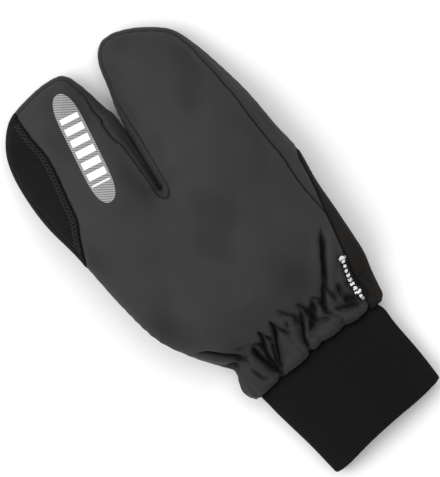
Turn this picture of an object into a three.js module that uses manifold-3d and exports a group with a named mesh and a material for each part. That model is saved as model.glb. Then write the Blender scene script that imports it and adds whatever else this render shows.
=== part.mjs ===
// A padded lobster claw mitt for the right hand, lying back up with its thumb folded under the palm.
// The index and middle fingers share one lobe and the ring and little fingers share the other.
// +Y points to the fingertips, +X to the little finger side and +Z up from the surface it lies on.
import * as THREE from "three";
import { mergeVertices } from "three/addons/utils/BufferGeometryUtils.js";
import Module from "manifold-3d";

const wasm = await Module();
wasm.setup();

// Driving sizes in millimetres
const handLength = 222; // hem of the wrist gathers to the tip of the longer lobe
const handWidth = 146; // index side to little finger side at the widest place
const handDepth = 28; // back of the hand to the palm, padding included
const backEdge = 26; // how far in from the silhouette the padded back rounds over
const palmEdge = 11; // how far in from the silhouette the palm rounds under
const shellWall = 2.8; // outer cloth, padding and lining together
const stripWidth = 10; // widest view of the side strip from above
const pipeInset = 2.6; // silhouette to the seam where the palm turns up over the index side
const seamGap = 0.3; // slit between two pieces at a seam
const gatherLength = 20; // hem to the elastic
const gatherRise = 4.6; // height of a puff above its creases
const puckerLength = 17; // reach of the small puckers above the elastic
const thumbLength = 86;
const thumbWidth = 42;
const thumbDepth = 17;
const thumbWall = 2.4;
const thumbHoleLength = 32; // opening between the palm and the folded thumb
const thumbHoleWidth = 22;
const cuffLength = 62; // hem to the mouth, along the middle
const cuffTuck = 12; // knit that is sewn up inside the wrist
const cuffDepth = 17;
const cuffWall = 3;
const cuffSlant = 9.2; // how much further the index side of the mouth reaches
const ribPitch = 1.65;
const ribRelief = 0.45;
const tagLength = 29;
const tagWidth = 7.5;
const tagThickness = 1;
const tagClear = 0.8; // air under the tag where the gathers dip

// Shares of the depth and the width
const seamShare = 0.42; // height of the palm seam in the depth of the hand
const droopShare = 0.55; // how much of the thumb's lift is lost at the little finger side
const droopStart = 0.1; // where across the width the hand starts to droop

// Heights of the rows of the faceted surfaces, as shares of the way from the hem to a lobe's tip.
// They lie closer together in the gathers, at the crotch and where the tips round off.
const shellRows = [
  0, 0.03, 0.065, 0.09, 0.11, 0.13, 0.165, 0.21, 0.28, 0.38, 0.48, 0.545, 0.577, 0.5905, 0.63, 0.68, 0.73,
  0.79, 0.84, 0.88, 0.915, 0.945, 0.968, 0.984, 0.995, 1,
];
const cavityRows = [
  0, 0.045, 0.09, 0.13, 0.17, 0.22, 0.38, 0.52, 0.565, 0.5905, 0.66, 0.73, 0.79, 0.85, 0.9, 0.94, 0.97,
  0.99, 1,
];
const shellColumns = 20;
const cavityColumns = 8;
const curveSteps = 2; // straight pieces between two rows of an outline table
const seamRows = 18;
const seamColumns = 5;
const thumbRows = 12;
const thumbColumns = 10;
const pouchColumns = 8; // across the hollow of the thumb
const tagRows = 6;
const cuffInnerSides = 40;

// Silhouette of the index and middle finger lobe, from the hem up the index side and down to the crotch.
// Shares of the hand's width, from the crotch, and of its length, from the hem.
const indexOutline = [
  { across: -0.195, along: 0 },
  { across: -0.209, along: 0.036 },
  { across: -0.192, along: 0.076 },
  { across: -0.229, along: 0.113 },
  { across: -0.301, along: 0.18 },
  { across: -0.373, along: 0.27 },
  { across: -0.408, along: 0.395 },
  { across: -0.428, along: 0.52 },
  { across: -0.455, along: 0.655 },
  { across: -0.469, along: 0.775 },
  { across: -0.452, along: 0.865 },
  { across: -0.408, along: 0.928 },
  { across: -0.325, along: 0.973 },
  { across: -0.216, along: 0.991 },
  { across: -0.12, along: 0.995 },
  { across: -0.051, along: 0.982 },
  { across: -0.017, along: 0.932 },
  { across: 0.007, along: 0.856 },
  { across: 0.024, along: 0.793 },
  { across: -0.0025, along: 0.59 },
];

// Silhouette of the ring and little finger lobe, from the crotch over the tip and down to the hem
const ringOutline = [
  { across: 0.0025, along: 0.59 },
  { across: 0.03, along: 0.793 },
  { across: 0.065, along: 0.887 },
  { across: 0.092, along: 0.955 },
  { across: 0.134, along: 0.991 },
  { across: 0.182, along: 1 },
  { across: 0.236, along: 0.993 },
  { across: 0.318, along: 0.966 },
  { across: 0.41, along: 0.916 },
  { across: 0.455, along: 0.847 },
  { across: 0.49, along: 0.748 },
  { across: 0.514, along: 0.653 },
  { across: 0.527, along: 0.541 },
  { across: 0.541, along: 0.459 },
  { across: 0.527, along: 0.36 },
  { across: 0.524, along: 0.261 },
  { across: 0.518, along: 0.144 },
  { across: 0.495, along: 0.077 },
  { across: 0.466, along: 0 },
];

// Seam between the back and the crescent patch on the index finger, from the tip down
const patchSeam = [
  { across: -0.301, along: 1.02 },
  { across: -0.307, along: 0.91 },
  { across: -0.298, along: 0.838 },
  { across: -0.308, along: 0.779 },
  { across: -0.329, along: 0.712 },
  { across: -0.349, along: 0.649 },
  { across: -0.387, along: 0.599 },
  { across: -0.445, along: 0.514 },
];

// Seam where the palm comes up round the little finger side, from the side strip down to the hem
const palmSeam = [
  { across: 0.56, along: 0.49 },
  { across: 0.526, along: 0.44 },
  { across: 0.516, along: 0.392 },
  { across: 0.5, along: 0.33 },
  { across: 0.482, along: 0.275 },
  { across: 0.45, along: 0.176 },
  { across: 0.416, along: 0.08 },
  { across: 0.399, along: -0.05 },
];

// View of the side strip from above at heights along the hand, in shares of its widest view:
// on the little finger side, on the ring finger side of the gap and on the middle finger side of it
const stripView = [
  { along: 0.27, little: 0.66, ring: 0.48, middle: 0.48 },
  { along: 0.44, little: 1, ring: 0.48, middle: 0.48 },
  { along: 0.6, little: 0.86, ring: 0.48, middle: 0.48 },
  { along: 0.7, little: 0.68, ring: 0.54, middle: 0.7 },
  { along: 0.79, little: 0.48, ring: 0.42, middle: 0.96 },
  { along: 0.86, little: 0.3, ring: 0.3, middle: 0.56 },
  { along: 0.91, little: 0.22, ring: 0.24, middle: 0.34 },
  { along: 1, little: 0.2, ring: 0.22, middle: 0.22 },
];

// Side view of the hand: how far the folded thumb lifts it, and its depth, both as shares
const sideView = [
  { along: -0.1, lift: 0, depth: 0.82 },
  { along: 0.08, lift: 0, depth: 0.82 },
  { along: 0.17, lift: 0.94, depth: 0.94 },
  { along: 0.2, lift: 1, depth: 0.98 },
  { along: 0.66, lift: 1, depth: 1 },
  { along: 0.7, lift: 0.86, depth: 1 },
  { along: 0.8, lift: 0.1, depth: 0.97 },
  { along: 0.83, lift: 0, depth: 0.95 },
  { along: 1.1, lift: 0, depth: 0.9 },
];

// Creases between the puffs of the wrist gathers, in shares of the hand's width from the crotch.
// Rise is the height of the puff on the right of the crease, as a share of the full rise.
const creases = [
  { across: -0.212, rise: 0.8 },
  { across: -0.065, rise: 1 },
  { across: 0.103, rise: 0.9 },
  { across: 0.262, rise: 0.8 },
  { across: 0.394, rise: 0.5 },
  { across: 0.54, rise: 0 },
];

// Half width and end of the thumb at shares of its length, from its base
const thumbOutline = [
  { along: 0, half: 0 },
  { along: 0.03, half: 0.62 },
  { along: 0.12, half: 0.95 },
  { along: 0.3, half: 1 },
  { along: 0.6, half: 0.94 },
  { along: 0.82, half: 0.8 },
  { along: 0.93, half: 0.55 },
  { along: 0.985, half: 0.28 },
  { along: 1, half: 0 },
];

// Where the thumb lies under the palm, in shares of the hand, and the way it points
const thumbPlace = { across: -0.15, along: 0.205, turn: THREE.MathUtils.degToRad(-24) };
const thumbHoleAlong = 0.28; // middle of the opening, as a share of the thumb's length

const crotchX = 0;
const thumbLift = thumbDepth + seamGap;

const materials = {
  shell: new THREE.MeshStandardMaterial({ color: 0x3c3c3c, roughness: 0.72, metalness: 0 }),
  suede: new THREE.MeshStandardMaterial({ color: 0x232121, roughness: 0.95, metalness: 0 }),
  knit: new THREE.MeshStandardMaterial({ color: 0x1a1a1c, roughness: 0.9, metalness: 0 }),
  label: new THREE.MeshStandardMaterial({ color: 0x141414, roughness: 0.7, metalness: 0 }),
};

const clamp01 = (value) => Math.min(1, Math.max(0, value));
const smooth = (value) => THREE.MathUtils.smoothstep(value, 0, 1);

// Even steps drawn closer together at both ends
const bothEnds = (share) => (1 - Math.cos(Math.PI * share)) / 2;

// A quarter round: nought at the silhouette, one where the surface has turned over
const roundOver = (share) => Math.sqrt(1 - (1 - clamp01(share)) ** 2);

// The value of one column of a table at a place, read along its "along" column
function read(table, column, along) {
  const after = table.findIndex((row) => row.along >= along);
  if (after === 0) return table[0][column];
  if (after < 0) return table[table.length - 1][column];
  const low = table[after - 1];
  const high = table[after];
  const share = (along - low.along) / (high.along - low.along);
  return THREE.MathUtils.lerp(low[column], high[column], smooth(share));
}

// A smooth curve through the rows of an outline table, as points in millimetres
function curveThrough(table) {
  const points = table.map((row) => new THREE.Vector2(row.across * handWidth, row.along * handLength));
  return new THREE.SplineCurve(points).getPoints((table.length - 1) * curveSteps);
}

// A line moved sideways, to its right as one walks along it, by a width that may change on the way
function moved(line, width) {
  return line.map((point, i) => {
    const before = line[Math.max(0, i - 1)];
    const after = line[Math.min(line.length - 1, i + 1)];
    const way = after.clone().sub(before).normalize();
    const distance = typeof width === "function" ? width(point, i) : width;
    return new THREE.Vector2(point.x + way.y * distance, point.y - way.x * distance);
  });
}

function distanceTo(line, x, y) {
  let nearest = Infinity;
  for (let i = 1; i < line.length; i += 1) {
    const a = line[i - 1];
    const wayX = line[i].x - a.x;
    const wayY = line[i].y - a.y;
    const share = clamp01(((x - a.x) * wayX + (y - a.y) * wayY) / (wayX ** 2 + wayY ** 2));
    nearest = Math.min(nearest, Math.hypot(x - a.x - wayX * share, y - a.y - wayY * share));
  }
  return nearest;
}

// The lowest and highest x of a closed outline at a height along the hand
function spanAt(outline, y) {
  const crossings = [];
  outline.forEach((a, i) => {
    const b = outline[(i + 1) % outline.length];
    if (a.y <= y !== b.y <= y) crossings.push(a.x + ((b.x - a.x) * (y - a.y)) / (b.y - a.y));
  });
  return [Math.min(...crossings), Math.max(...crossings)];
}

// A manifold-3d solid from loose triangles, given as one flat list of points
function solidFrom(positions) {
  const loose = new THREE.BufferGeometry();
  loose.setAttribute("position", new THREE.Float32BufferAttribute(positions, 3));
  return solidOf(loose);
}

function solidOf(geometry) {
  const bare = new THREE.BufferGeometry();
  bare.setAttribute("position", geometry.getAttribute("position").clone());
  if (geometry.index) bare.setIndex(geometry.index.clone());
  const merged = mergeVertices(bare, 1e-4);
  const corners = merged.index.array;
  const kept = [];
  for (let i = 0; i < corners.length; i += 3) {
    const [a, b, c] = [corners[i], corners[i + 1], corners[i + 2]];
    if (a !== b && b !== c && a !== c) kept.push(a, b, c);
  }
  const vertProperties = merged.getAttribute("position").array;
  return new wasm.Manifold(new wasm.Mesh({ numProp: 3, vertProperties, triVerts: new Uint32Array(kept) }));
}

function meshOf(name, solid, material) {
  const { vertProperties, triVerts, numProp } = solid.getMesh();
  const geometry = new THREE.BufferGeometry();
  const positions = new Float32Array((vertProperties.length / numProp) * 3);
  for (let i = 0; i < positions.length / 3; i += 1) {
    positions.set(vertProperties.subarray(i * numProp, i * numProp + 3), i * 3);
  }
  geometry.setAttribute("position", new THREE.BufferAttribute(positions, 3));
  geometry.setIndex(new THREE.BufferAttribute(triVerts, 1));
  const mesh = new THREE.Mesh(geometry.toNonIndexed(), material);
  mesh.geometry.computeVertexNormals();
  mesh.name = name;
  return mesh;
}

// A closed solid over a net of places seen from above, between a lower and an upper surface.
// Each row of the net runs from low x to high x, and the rows climb in y. The lower surface may skip columns.
function layer(net, bottom, top, skip = 1) {
  const lower = net.map((row) => row.map(({ x, y }) => [x, y, bottom(x, y)]));
  const upper = net.map((row) => row.map(({ x, y }) => [x, y, Math.max(top(x, y), bottom(x, y))]));
  const positions = [];
  const face = (...corners) => {
    for (let i = 2; i < corners.length; i += 1) {
      positions.push(...corners[0], ...corners[i - 1], ...corners[i]);
    }
  };
  const lastRow = net.length - 1;
  const lastColumn = net[0].length - 1;
  for (let i = 0; i < lastRow; i += 1) {
    for (let j = 0; j < lastColumn; j += 1) {
      face(upper[i][j], upper[i][j + 1], upper[i + 1][j + 1], upper[i + 1][j]);
    }
    for (let j = 0; j < lastColumn; j += skip) {
      face(lower[i][j], lower[i + 1][j], lower[i + 1][j + skip], lower[i][j + skip]);
    }
    face(lower[i][0], upper[i][0], upper[i + 1][0], lower[i + 1][0]);
    face(lower[i][lastColumn], lower[i + 1][lastColumn], upper[i + 1][lastColumn], upper[i][lastColumn]);
  }
  for (let j = 0; j < lastColumn; j += skip) {
    const above = (row) => upper[row].slice(j, j + skip + 1);
    face(lower[0][j], lower[0][j + skip], ...above(0).reverse());
    face(lower[lastRow][j + skip], lower[lastRow][j], ...above(lastRow));
  }
  return solidFrom(positions);
}

// A net across a closed outline, with a row at each height and its columns spread from edge to edge
function netOver(outline, heights, columns, spread) {
  return heights.map((y) => {
    const [low, high] = spanAt(outline, y);
    return Array.from({ length: columns + 1 }, (_, j) => {
      return { x: THREE.MathUtils.lerp(low, high, spread(j / columns)), y };
    });
  });
}

// Heights of rows between the foot and the top of a closed outline, for shares from nought to one
function heightsIn(outline, shares) {
  const lowest = Math.min(...outline.map((point) => point.y));
  const highest = Math.max(...outline.map((point) => point.y));
  const inside = 1e-3 * (highest - lowest);
  return shares.map((share) => THREE.MathUtils.lerp(lowest + inside * 0.01, highest - inside, share));
}

// An upright prism over an outline seen from above
function prism(outline, low = -handDepth, high = 3 * handDepth) {
  const geometry = new THREE.ExtrudeGeometry(new THREE.Shape(outline), {
    depth: high - low,
    bevelEnabled: false,
  });
  geometry.translate(0, 0, low);
  return solidOf(geometry);
}

const join = (solids) => solids.reduce((sum, solid) => sum.add(solid));

const indexSide = curveThrough(indexOutline);
const ringSide = curveThrough(ringOutline);

// How far the hand lies above the surface: all of the thumb's depth at the index side, less beyond
function liftAt(x, y) {
  const away = smooth((x / handWidth - droopStart) / (ringOutline.at(-1).across - droopStart));
  return thumbLift * read(sideView, "lift", y / handLength) * (1 - droopShare * away);
}

// Rise of the gathered cloth above its creases: full puffs below the elastic and puckers above it
function gatherAt(x, y) {
  const after = creases.findIndex((row) => row.across > x / handWidth);
  if (after < 1) return 0;
  const low = creases[after - 1];
  const share = (x / handWidth - low.across) / (creases[after].across - low.across);
  const below = Math.sin(Math.PI * clamp01((gatherLength - y) / gatherLength)) ** 0.6;
  const above = Math.sin(Math.PI * clamp01((y - gatherLength) / puckerLength) ** 0.6);
  const fullness = y < gatherLength ? below : 0.45 * above;
  return gatherRise * low.rise * fullness * Math.sin(Math.PI * share) ** 0.8;
}

// Upper, lower and seam surface of one half of the hand, moved in by a wall's thickness
function surfaces(silhouette, inset) {
  const depthAt = (y) => handDepth * read(sideView, "depth", y / handLength);
  const inFrom = (x, y) => distanceTo(silhouette, x, y) - inset;
  const seam = (x, y) => liftAt(x, y) + seamShare * depthAt(y);
  const top = (x, y) => {
    const rise = (1 - seamShare) * depthAt(y) - inset + gatherAt(x, y);
    return seam(x, y) + rise * roundOver(inFrom(x, y) / (backEdge - inset));
  };
  const bottom = (x, y) => {
    const fall = seamShare * depthAt(y) - inset + 0.4 * gatherAt(x, y);
    const under = seam(x, y) - fall * roundOver(inFrom(x, y) / (palmEdge - inset));
    return Math.max(under, inset);
  };
  return { top, bottom, seam };
}

// Outline of one half of the hand, closed down the middle of the palm a little past the other half
function halfOutline(silhouette, inset, side) {
  const line = moved(silhouette, inset);
  const hemEnd = side < 0 ? line[0] : line[line.length - 1];
  const crotchEnd = side < 0 ? line[line.length - 1] : line[0];
  const foot = -inset;
  const past = crotchX - side * shellWall;
  const closing = [
    new THREE.Vector2(past, crotchEnd.y - handWidth * 0.02 - inset),
    new THREE.Vector2(past, foot),
    new THREE.Vector2(hemEnd.x, foot),
  ];
  return side < 0 ? [...line, ...closing] : [...line, ...closing.reverse()];
}

const indexSpread = (share) => (1 - Math.cos(Math.PI * share * 0.75)) / (1 - Math.cos(Math.PI * 0.75));
const ringSpread = (share) => 1 - indexSpread(1 - share);

function handHalf(silhouette, inset, side, rows, columns) {
  const outline = halfOutline(silhouette, inset, side);
  const { top, bottom } = surfaces(silhouette, inset);
  const crotch = indexOutline[indexOutline.length - 1].along;
  const underCrotch = rows.filter((share) => share < crotch);
  const belowCrotch = underCrotch.map((share) => Math.max(share * handLength, 1e-3 - inset));
  const lobe = outline.filter((point) => point.y > crotch * handLength);
  const aboveCrotch = rows.filter((share) => share > crotch).map((share) => (share - crotch) / (1 - crotch));
  const lobeFoot = new THREE.Vector2(0, crotch * handLength);
  const heights = [...belowCrotch, ...heightsIn([lobeFoot, ...lobe], aboveCrotch)];
  if (inset > 0) heights[0] = 1e-3 - inset;
  return layer(netOver(outline, heights, columns, side < 0 ? indexSpread : ringSpread), bottom, top, 2);
}

// A closed outline drawn in by a distance, or let out where the distance is negative
function drawnIn(ring, distance) {
  const side = THREE.ShapeUtils.isClockWise(ring) ? 1 : -1;
  return ring.map((point, i) => {
    const before = ring[(i + ring.length - 1) % ring.length];
    const after = ring[(i + 1) % ring.length];
    const way = after.clone().sub(before).normalize().multiplyScalar(side * distance);
    return new THREE.Vector2(point.x + way.y, point.y - way.x);
  });
}

const place = (across, along) => new THREE.Vector2(across * handWidth, along * handLength);

// The seam round the back of both lobes: up the little finger side, round the tip, down into the gap,
// up its other side and round to the crescent patch
function stripSeam() {
  const tipOf = (line) => line.reduce((best, point, i) => (point.y > line[best].y ? i : best), 0);
  const viewAt = (column, point) => stripWidth * read(stripView, column, point.y / handLength);
  const ringTip = tipOf(ringSide);
  const indexTip = tipOf(indexSide);
  const ringSeam = moved(ringSide, (point, i) => viewAt(i > ringTip ? "little" : "ring", point));
  const indexSeam = moved(indexSide, (point) => viewAt("middle", point)).slice(indexTip - 3 * curveSteps);
  const littleEnd = stripView[0].along * handLength;
  const left = indexSeam[indexSeam.length - 1];
  const right = ringSeam[0];
  const hollow = Array.from({ length: 5 }, (_, i) => {
    const turn = (Math.PI * (i + 1)) / 6;
    const middle = left.clone().lerp(right, 0.5);
    const half = (right.x - left.x) / 2;
    return new THREE.Vector2(middle.x + half * Math.cos(turn), middle.y - 0.65 * stripWidth * Math.sin(turn));
  });
  const outerEnd = ringSeam.findIndex((point, i) => i > ringTip && point.y < littleEnd);
  const patchX = patchSeam[0].across * handWidth;
  return [
    ...ringSeam.slice(0, outerEnd).reverse(),
    ...hollow,
    ...indexSeam.filter((point) => point.x > patchX + seamGap).reverse(),
  ];
}

const margin = 0.8; // well outside the hand, as a share of its width and of its length
const patchLine = curveThrough(patchSeam);
const palmLine = curveThrough(palmSeam);
const patchFoot = patchSeam[patchSeam.length - 1].along;

// Regions seen from above, each closed outside the hand
const palmLower = palmLine.filter((point) => point.y < (stripView[0].along + 0.008) * handLength).reverse();
const backRegion = [
  ...palmLower,
  ...stripSeam(),
  ...patchLine,
  place(-margin, patchFoot),
  place(-margin, -margin),
  place(palmSeam[palmSeam.length - 1].across, -margin),
];
const patchRegion = [...patchLine, place(-margin, patchFoot), place(-margin, patchSeam[0].along)];
const turnWidth = (point) => pipeInset * smooth((point.y / handLength - patchFoot) / 0.08);
const pipeLine = moved(indexSide, turnWidth).filter(
  (point) => point.y > patchFoot * handLength && point.x < patchLine[0].x - pipeInset,
);
const indexTurn = [
  ...pipeLine,
  place(patchSeam[0].across, margin + 1),
  place(-margin, margin + 1),
  place(-margin, patchFoot),
];
const wristTurn = [
  ...palmLine,
  place(palmSeam[palmSeam.length - 1].across, -margin),
  place(margin, -margin),
  place(margin, palmSeam[0].along),
];

// Everything under the seam between the palm and the rest of the hand, moved up by a small amount
function underSeam(shift) {
  const across = (j) => THREE.MathUtils.lerp(-margin, margin, j / seamColumns);
  const along = (i) => THREE.MathUtils.lerp(-0.2, margin + 0.4, i / seamRows);
  const net = Array.from({ length: seamRows + 1 }, (_, i) =>
    Array.from({ length: seamColumns + 1 }, (__, j) => place(across(j), along(i))),
  );
  const { seam } = surfaces(ringSide, 0);
  return layer(net, () => -handDepth, (x, y) => seam(x, y) + shift);
}

// Cuts leave crumbs where seams run into each other, so only the piece itself is kept
const largest = (solid) => solid.decompose().reduce((a, b) => (b.volume() > a.volume() ? b : a));

function shellPieces(shell) {
  const grown = (region) => prism(drawnIn(region, -seamGap / 2));
  const drawn = (region) => prism(drawnIn(region, seamGap / 2));
  const upper = shell.subtract(underSeam(seamGap / 2));
  const turns = join([grown(indexTurn), grown(wristTurn)]);
  const back = upper.intersect(drawn(backRegion)).subtract(turns);
  const patch = upper.intersect(drawn(patchRegion)).subtract(turns);
  const strip = upper.subtract(grown(backRegion)).subtract(grown(patchRegion)).subtract(turns);
  const palm = shell.intersect(join([underSeam(-seamGap / 2), drawn(indexTurn), drawn(wristTurn)]));
  return { back: largest(back), patch: largest(patch), strip: largest(strip), palm: largest(palm) };
}

// The thumb as a flat pouch along +Y, from its base
function thumbPouch(inset) {
  const half = thumbWidth / 2;
  const right = new THREE.SplineCurve(
    thumbOutline.map((row) => new THREE.Vector2(row.half * half, row.along * thumbLength)),
  ).getPoints((thumbOutline.length - 1) * curveSteps);
  const left = right.slice(1, -1).reverse().map((point) => new THREE.Vector2(-point.x, point.y));
  const ring = [...right, ...left];
  const closed = [...ring, ring[0]];
  const rise = thumbDepth / 2 - inset;
  const edge = thumbDepth * 0.55 - inset;
  const over = (x, y) => rise * roundOver((distanceTo(closed, x, y) - inset) / edge);
  const outline = drawnIn(ring, inset);
  const rows = Array.from({ length: thumbRows + 1 }, (_, i) => bothEnds(i / thumbRows));
  const net = netOver(outline, heightsIn(outline, rows), inset > 0 ? pouchColumns : thumbColumns, bothEnds);
  return layer(net, (x, y) => thumbDepth / 2 - over(x, y), (x, y) => thumbDepth / 2 + over(x, y));
}

function placedThumb(solid) {
  const { x, y } = place(thumbPlace.across, thumbPlace.along);
  return solid.rotate([0, 0, THREE.MathUtils.radToDeg(thumbPlace.turn)]).translate([x, y, 0]);
}

function thumbHole() {
  const middle = thumbHoleAlong * thumbLength;
  const oval = new THREE.EllipseCurve(0, middle, thumbHoleWidth / 2, thumbHoleLength / 2);
  const outline = oval.getPoints(16).slice(0, -1);
  return placedThumb(prism(outline, thumbDepth - thumbWall * 1.5, thumbLift + shellWall * 2));
}

// One round of the cuff: half ovals above and below its side line
function cuffRing({ left, right, low, high, y, slant }, count, inset, relief) {
  const side = THREE.MathUtils.lerp(low, high, seamShare);
  return Array.from({ length: count }, (_, i) => {
    const turn = (2 * Math.PI * i) / count;
    const valley = i % 2 === 1 ? relief : 0;
    const squarer = Math.sin(turn) < 0 ? 3 : 2.4;
    const reach = (value) => Math.sign(value) * Math.abs(value) ** (2 / squarer);
    const halfWidth = (right - left) / 2 - inset - valley;
    const rise = (Math.sin(turn) < 0 ? side - low : high - side) - inset - valley;
    const across = reach(Math.cos(turn));
    return [(left + right) / 2 + halfWidth * across, y + slant * across, side + rise * reach(Math.sin(turn))];
  });
}

function tube(rings) {
  const positions = [];
  const count = rings[0].length;
  const cap = (ring, turned) => {
    const middle = [0, 1, 2].map((axis) => ring.reduce((sum, point) => sum + point[axis], 0) / count);
    ring.forEach((point, i) => {
      const next = ring[(i + 1) % count];
      positions.push(...middle, ...(turned ? next : point), ...(turned ? point : next));
    });
  };
  rings.slice(1).forEach((upper, k) => {
    const lower = rings[k];
    lower.forEach((point, i) => {
      const j = (i + 1) % count;
      positions.push(...point, ...upper[i], ...upper[j], ...point, ...upper[j], ...lower[j]);
    });
  });
  cap(rings[0], false);
  cap(rings[rings.length - 1], true);
  return solidFrom(positions);
}

// Sections of the cuff from its mouth up into the wrist. Edges are shares of the wrist's opening, and inside
// says how far a section has taken the height that it has within the wrist.
const cuffSections = [
  { along: -1, left: 0.118, right: 1.03, inside: 0 },
  { along: 0, left: 0.005, right: 0.99, inside: 1 },
  { along: 1, left: 0.01, right: 0.99, inside: 1 },
];

function ribCuff() {
  const openingLeft = indexSide[0].x + shellWall + seamGap;
  const openingRight = ringSide[ringSide.length - 1].x - shellWall - seamGap;
  const wristDepth = handDepth * sideView[0].depth;
  const fit = shellWall + seamGap;
  const rings = cuffSections.map((row) => ({
    left: THREE.MathUtils.lerp(openingLeft, openingRight, row.left),
    right: THREE.MathUtils.lerp(openingLeft, openingRight, row.right),
    low: fit * row.inside,
    high: THREE.MathUtils.lerp(cuffDepth, wristDepth - fit, row.inside),
    y: row.along > 0 ? row.along * cuffTuck : row.along * cuffLength,
    slant: row.along < 0 ? (-row.along * cuffSlant) / 2 : 0,
  }));
  const round = 2 * (openingRight - openingLeft + cuffDepth);
  const ribs = Math.round(round / ribPitch);
  const outer = tube(rings.map((ring) => cuffRing(ring, 2 * ribs, 0, ribRelief)));
  const past = cuffWall;
  const innerRings = rings.map((ring, i) => {
    const longer = { 0: -past, [rings.length - 1]: past }[i] ?? 0;
    return cuffRing({ ...ring, y: ring.y + longer }, cuffInnerSides, cuffWall, 0);
  });
  return outer.subtract(tube(innerRings));
}

// The folded tag lies on the gathers beside the seam of the palm
function sideTag() {
  const { top } = surfaces(ringSide, 0);
  const head = place(0.421, 0.165);
  const down = (i) => tagLength * (1 - i / tagRows);
  const net = Array.from({ length: tagRows + 1 }, (_, i) =>
    [-0.5, 0, 0.5].map((side) => ({ x: head.x - 0.09 * down(i) + tagWidth * side, y: head.y - down(i) })),
  );
  return layer(net, (x, y) => top(x, y) + tagClear, (x, y) => top(x, y) + tagClear + tagThickness);
}

const outside = join([
  handHalf(indexSide, 0, -1, shellRows, shellColumns),
  handHalf(ringSide, 0, 1, shellRows, shellColumns),
]);
const cavity = join([
  handHalf(indexSide, shellWall, -1, cavityRows, cavityColumns),
  handHalf(ringSide, shellWall, 1, cavityRows, cavityColumns),
]);
const hole = thumbHole();
const pieces = shellPieces(outside.subtract(cavity).subtract(hole));
const thumb = placedThumb(thumbPouch(0).subtract(thumbPouch(thumbWall))).subtract(hole);
const allRound = [place(-1, -1), place(1, -1), place(1, 1), place(-1, 1)];
const thumbSlice = (low, high) => thumb.intersect(placedThumb(prism(allRound, low, high)));

const mitt = new THREE.Group();
mitt.add(
  meshOf("back_panel", pieces.back, materials.shell),
  meshOf("side_strip", pieces.strip, materials.shell),
  meshOf("index_patch", pieces.patch, materials.suede),
  meshOf("palm_panel", pieces.palm, materials.suede),
  meshOf("thumb_front", thumbSlice((thumbDepth + seamGap) / 2, 2 * thumbDepth), materials.suede),
  meshOf("thumb_back", thumbSlice(-thumbDepth, (thumbDepth - seamGap) / 2), materials.shell),
  meshOf("rib_cuff", ribCuff(), materials.knit),
  meshOf("side_tag", sideTag(), materials.label),
);

// The origin is under the middle of the whole mitt, on the surface that it lies on
const bounds = new THREE.Box3().setFromObject(mitt);
const middle = bounds.getCenter(new THREE.Vector3());
mitt.position.set(-middle.x, -middle.y, -bounds.min.z);

export default mitt;
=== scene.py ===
"""A padded lobster claw mitt, dressed in cloth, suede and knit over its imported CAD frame.

Plan lines are in millimetres, x from the crotch between the lobes and y from the wrist hem. A mesh is
placed in the row frame, in metres, as its last step.
"""

import math

import bmesh
import bpy
import numpy as np
from bpy.props import FloatProperty, FloatVectorProperty, IntProperty, PointerProperty
from bpy.types import Operator, Panel, PropertyGroup
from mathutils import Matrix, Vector
from mathutils.bvhtree import BVHTree


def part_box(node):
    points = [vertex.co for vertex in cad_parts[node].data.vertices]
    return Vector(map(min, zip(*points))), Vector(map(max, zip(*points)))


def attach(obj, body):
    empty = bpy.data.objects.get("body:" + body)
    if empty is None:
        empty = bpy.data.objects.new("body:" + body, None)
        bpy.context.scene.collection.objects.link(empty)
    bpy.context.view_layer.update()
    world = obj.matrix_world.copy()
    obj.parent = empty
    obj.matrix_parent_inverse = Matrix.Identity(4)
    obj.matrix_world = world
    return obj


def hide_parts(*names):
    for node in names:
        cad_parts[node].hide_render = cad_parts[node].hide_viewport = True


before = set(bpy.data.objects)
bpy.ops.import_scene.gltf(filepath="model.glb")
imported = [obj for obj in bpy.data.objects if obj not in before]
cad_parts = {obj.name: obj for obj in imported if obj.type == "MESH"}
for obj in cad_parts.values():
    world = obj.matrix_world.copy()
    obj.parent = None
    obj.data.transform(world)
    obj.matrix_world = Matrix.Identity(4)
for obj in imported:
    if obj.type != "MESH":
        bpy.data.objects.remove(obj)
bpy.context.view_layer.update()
hem_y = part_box("back_panel")[0].y

bl_info = {
    "name": "Padded lobster claw mitt",
    "version": (1, 0, 0),
    "blender": (4, 5, 0),
    "location": "3D View > Sidebar > Mitt",
    "description": "Makes the mitt's panels, thumb, knit cuff and trim, and the studio around it",
    "category": "Object",
}

# Silhouette of the index and middle finger lobe, from the hem up the index side and down to the crotch.
# Shares of the hand's width, from the crotch, and of its length, from the hem.
INDEX_OUTLINE = (
    (-0.195, 0), (-0.209, 0.036), (-0.192, 0.076), (-0.229, 0.113), (-0.301, 0.18), (-0.373, 0.27),
    (-0.408, 0.395), (-0.428, 0.52), (-0.455, 0.655), (-0.469, 0.775), (-0.452, 0.865), (-0.408, 0.928),
    (-0.325, 0.973), (-0.216, 0.991), (-0.12, 0.995), (-0.051, 0.982), (-0.017, 0.932), (0.007, 0.856),
    (0.024, 0.793), (-0.0025, 0.59),
)

# Silhouette of the ring and little finger lobe, from the crotch over the tip and down to the hem
RING_OUTLINE = (
    (0.0025, 0.59), (0.03, 0.793), (0.065, 0.887), (0.092, 0.955), (0.134, 0.991), (0.182, 1),
    (0.236, 0.993), (0.318, 0.966), (0.41, 0.916), (0.455, 0.847), (0.49, 0.748), (0.514, 0.653),
    (0.527, 0.541), (0.541, 0.459), (0.527, 0.36), (0.524, 0.261), (0.518, 0.144), (0.495, 0.077),
    (0.466, 0),
)

# Seam between the back and the crescent patch on the index finger, from its foot up
PATCH_SEAM = (
    (-0.445, 0.514), (-0.387, 0.599), (-0.349, 0.649), (-0.329, 0.712), (-0.308, 0.779), (-0.298, 0.838),
    (-0.307, 0.91), (-0.301, 1.02),
)

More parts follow.
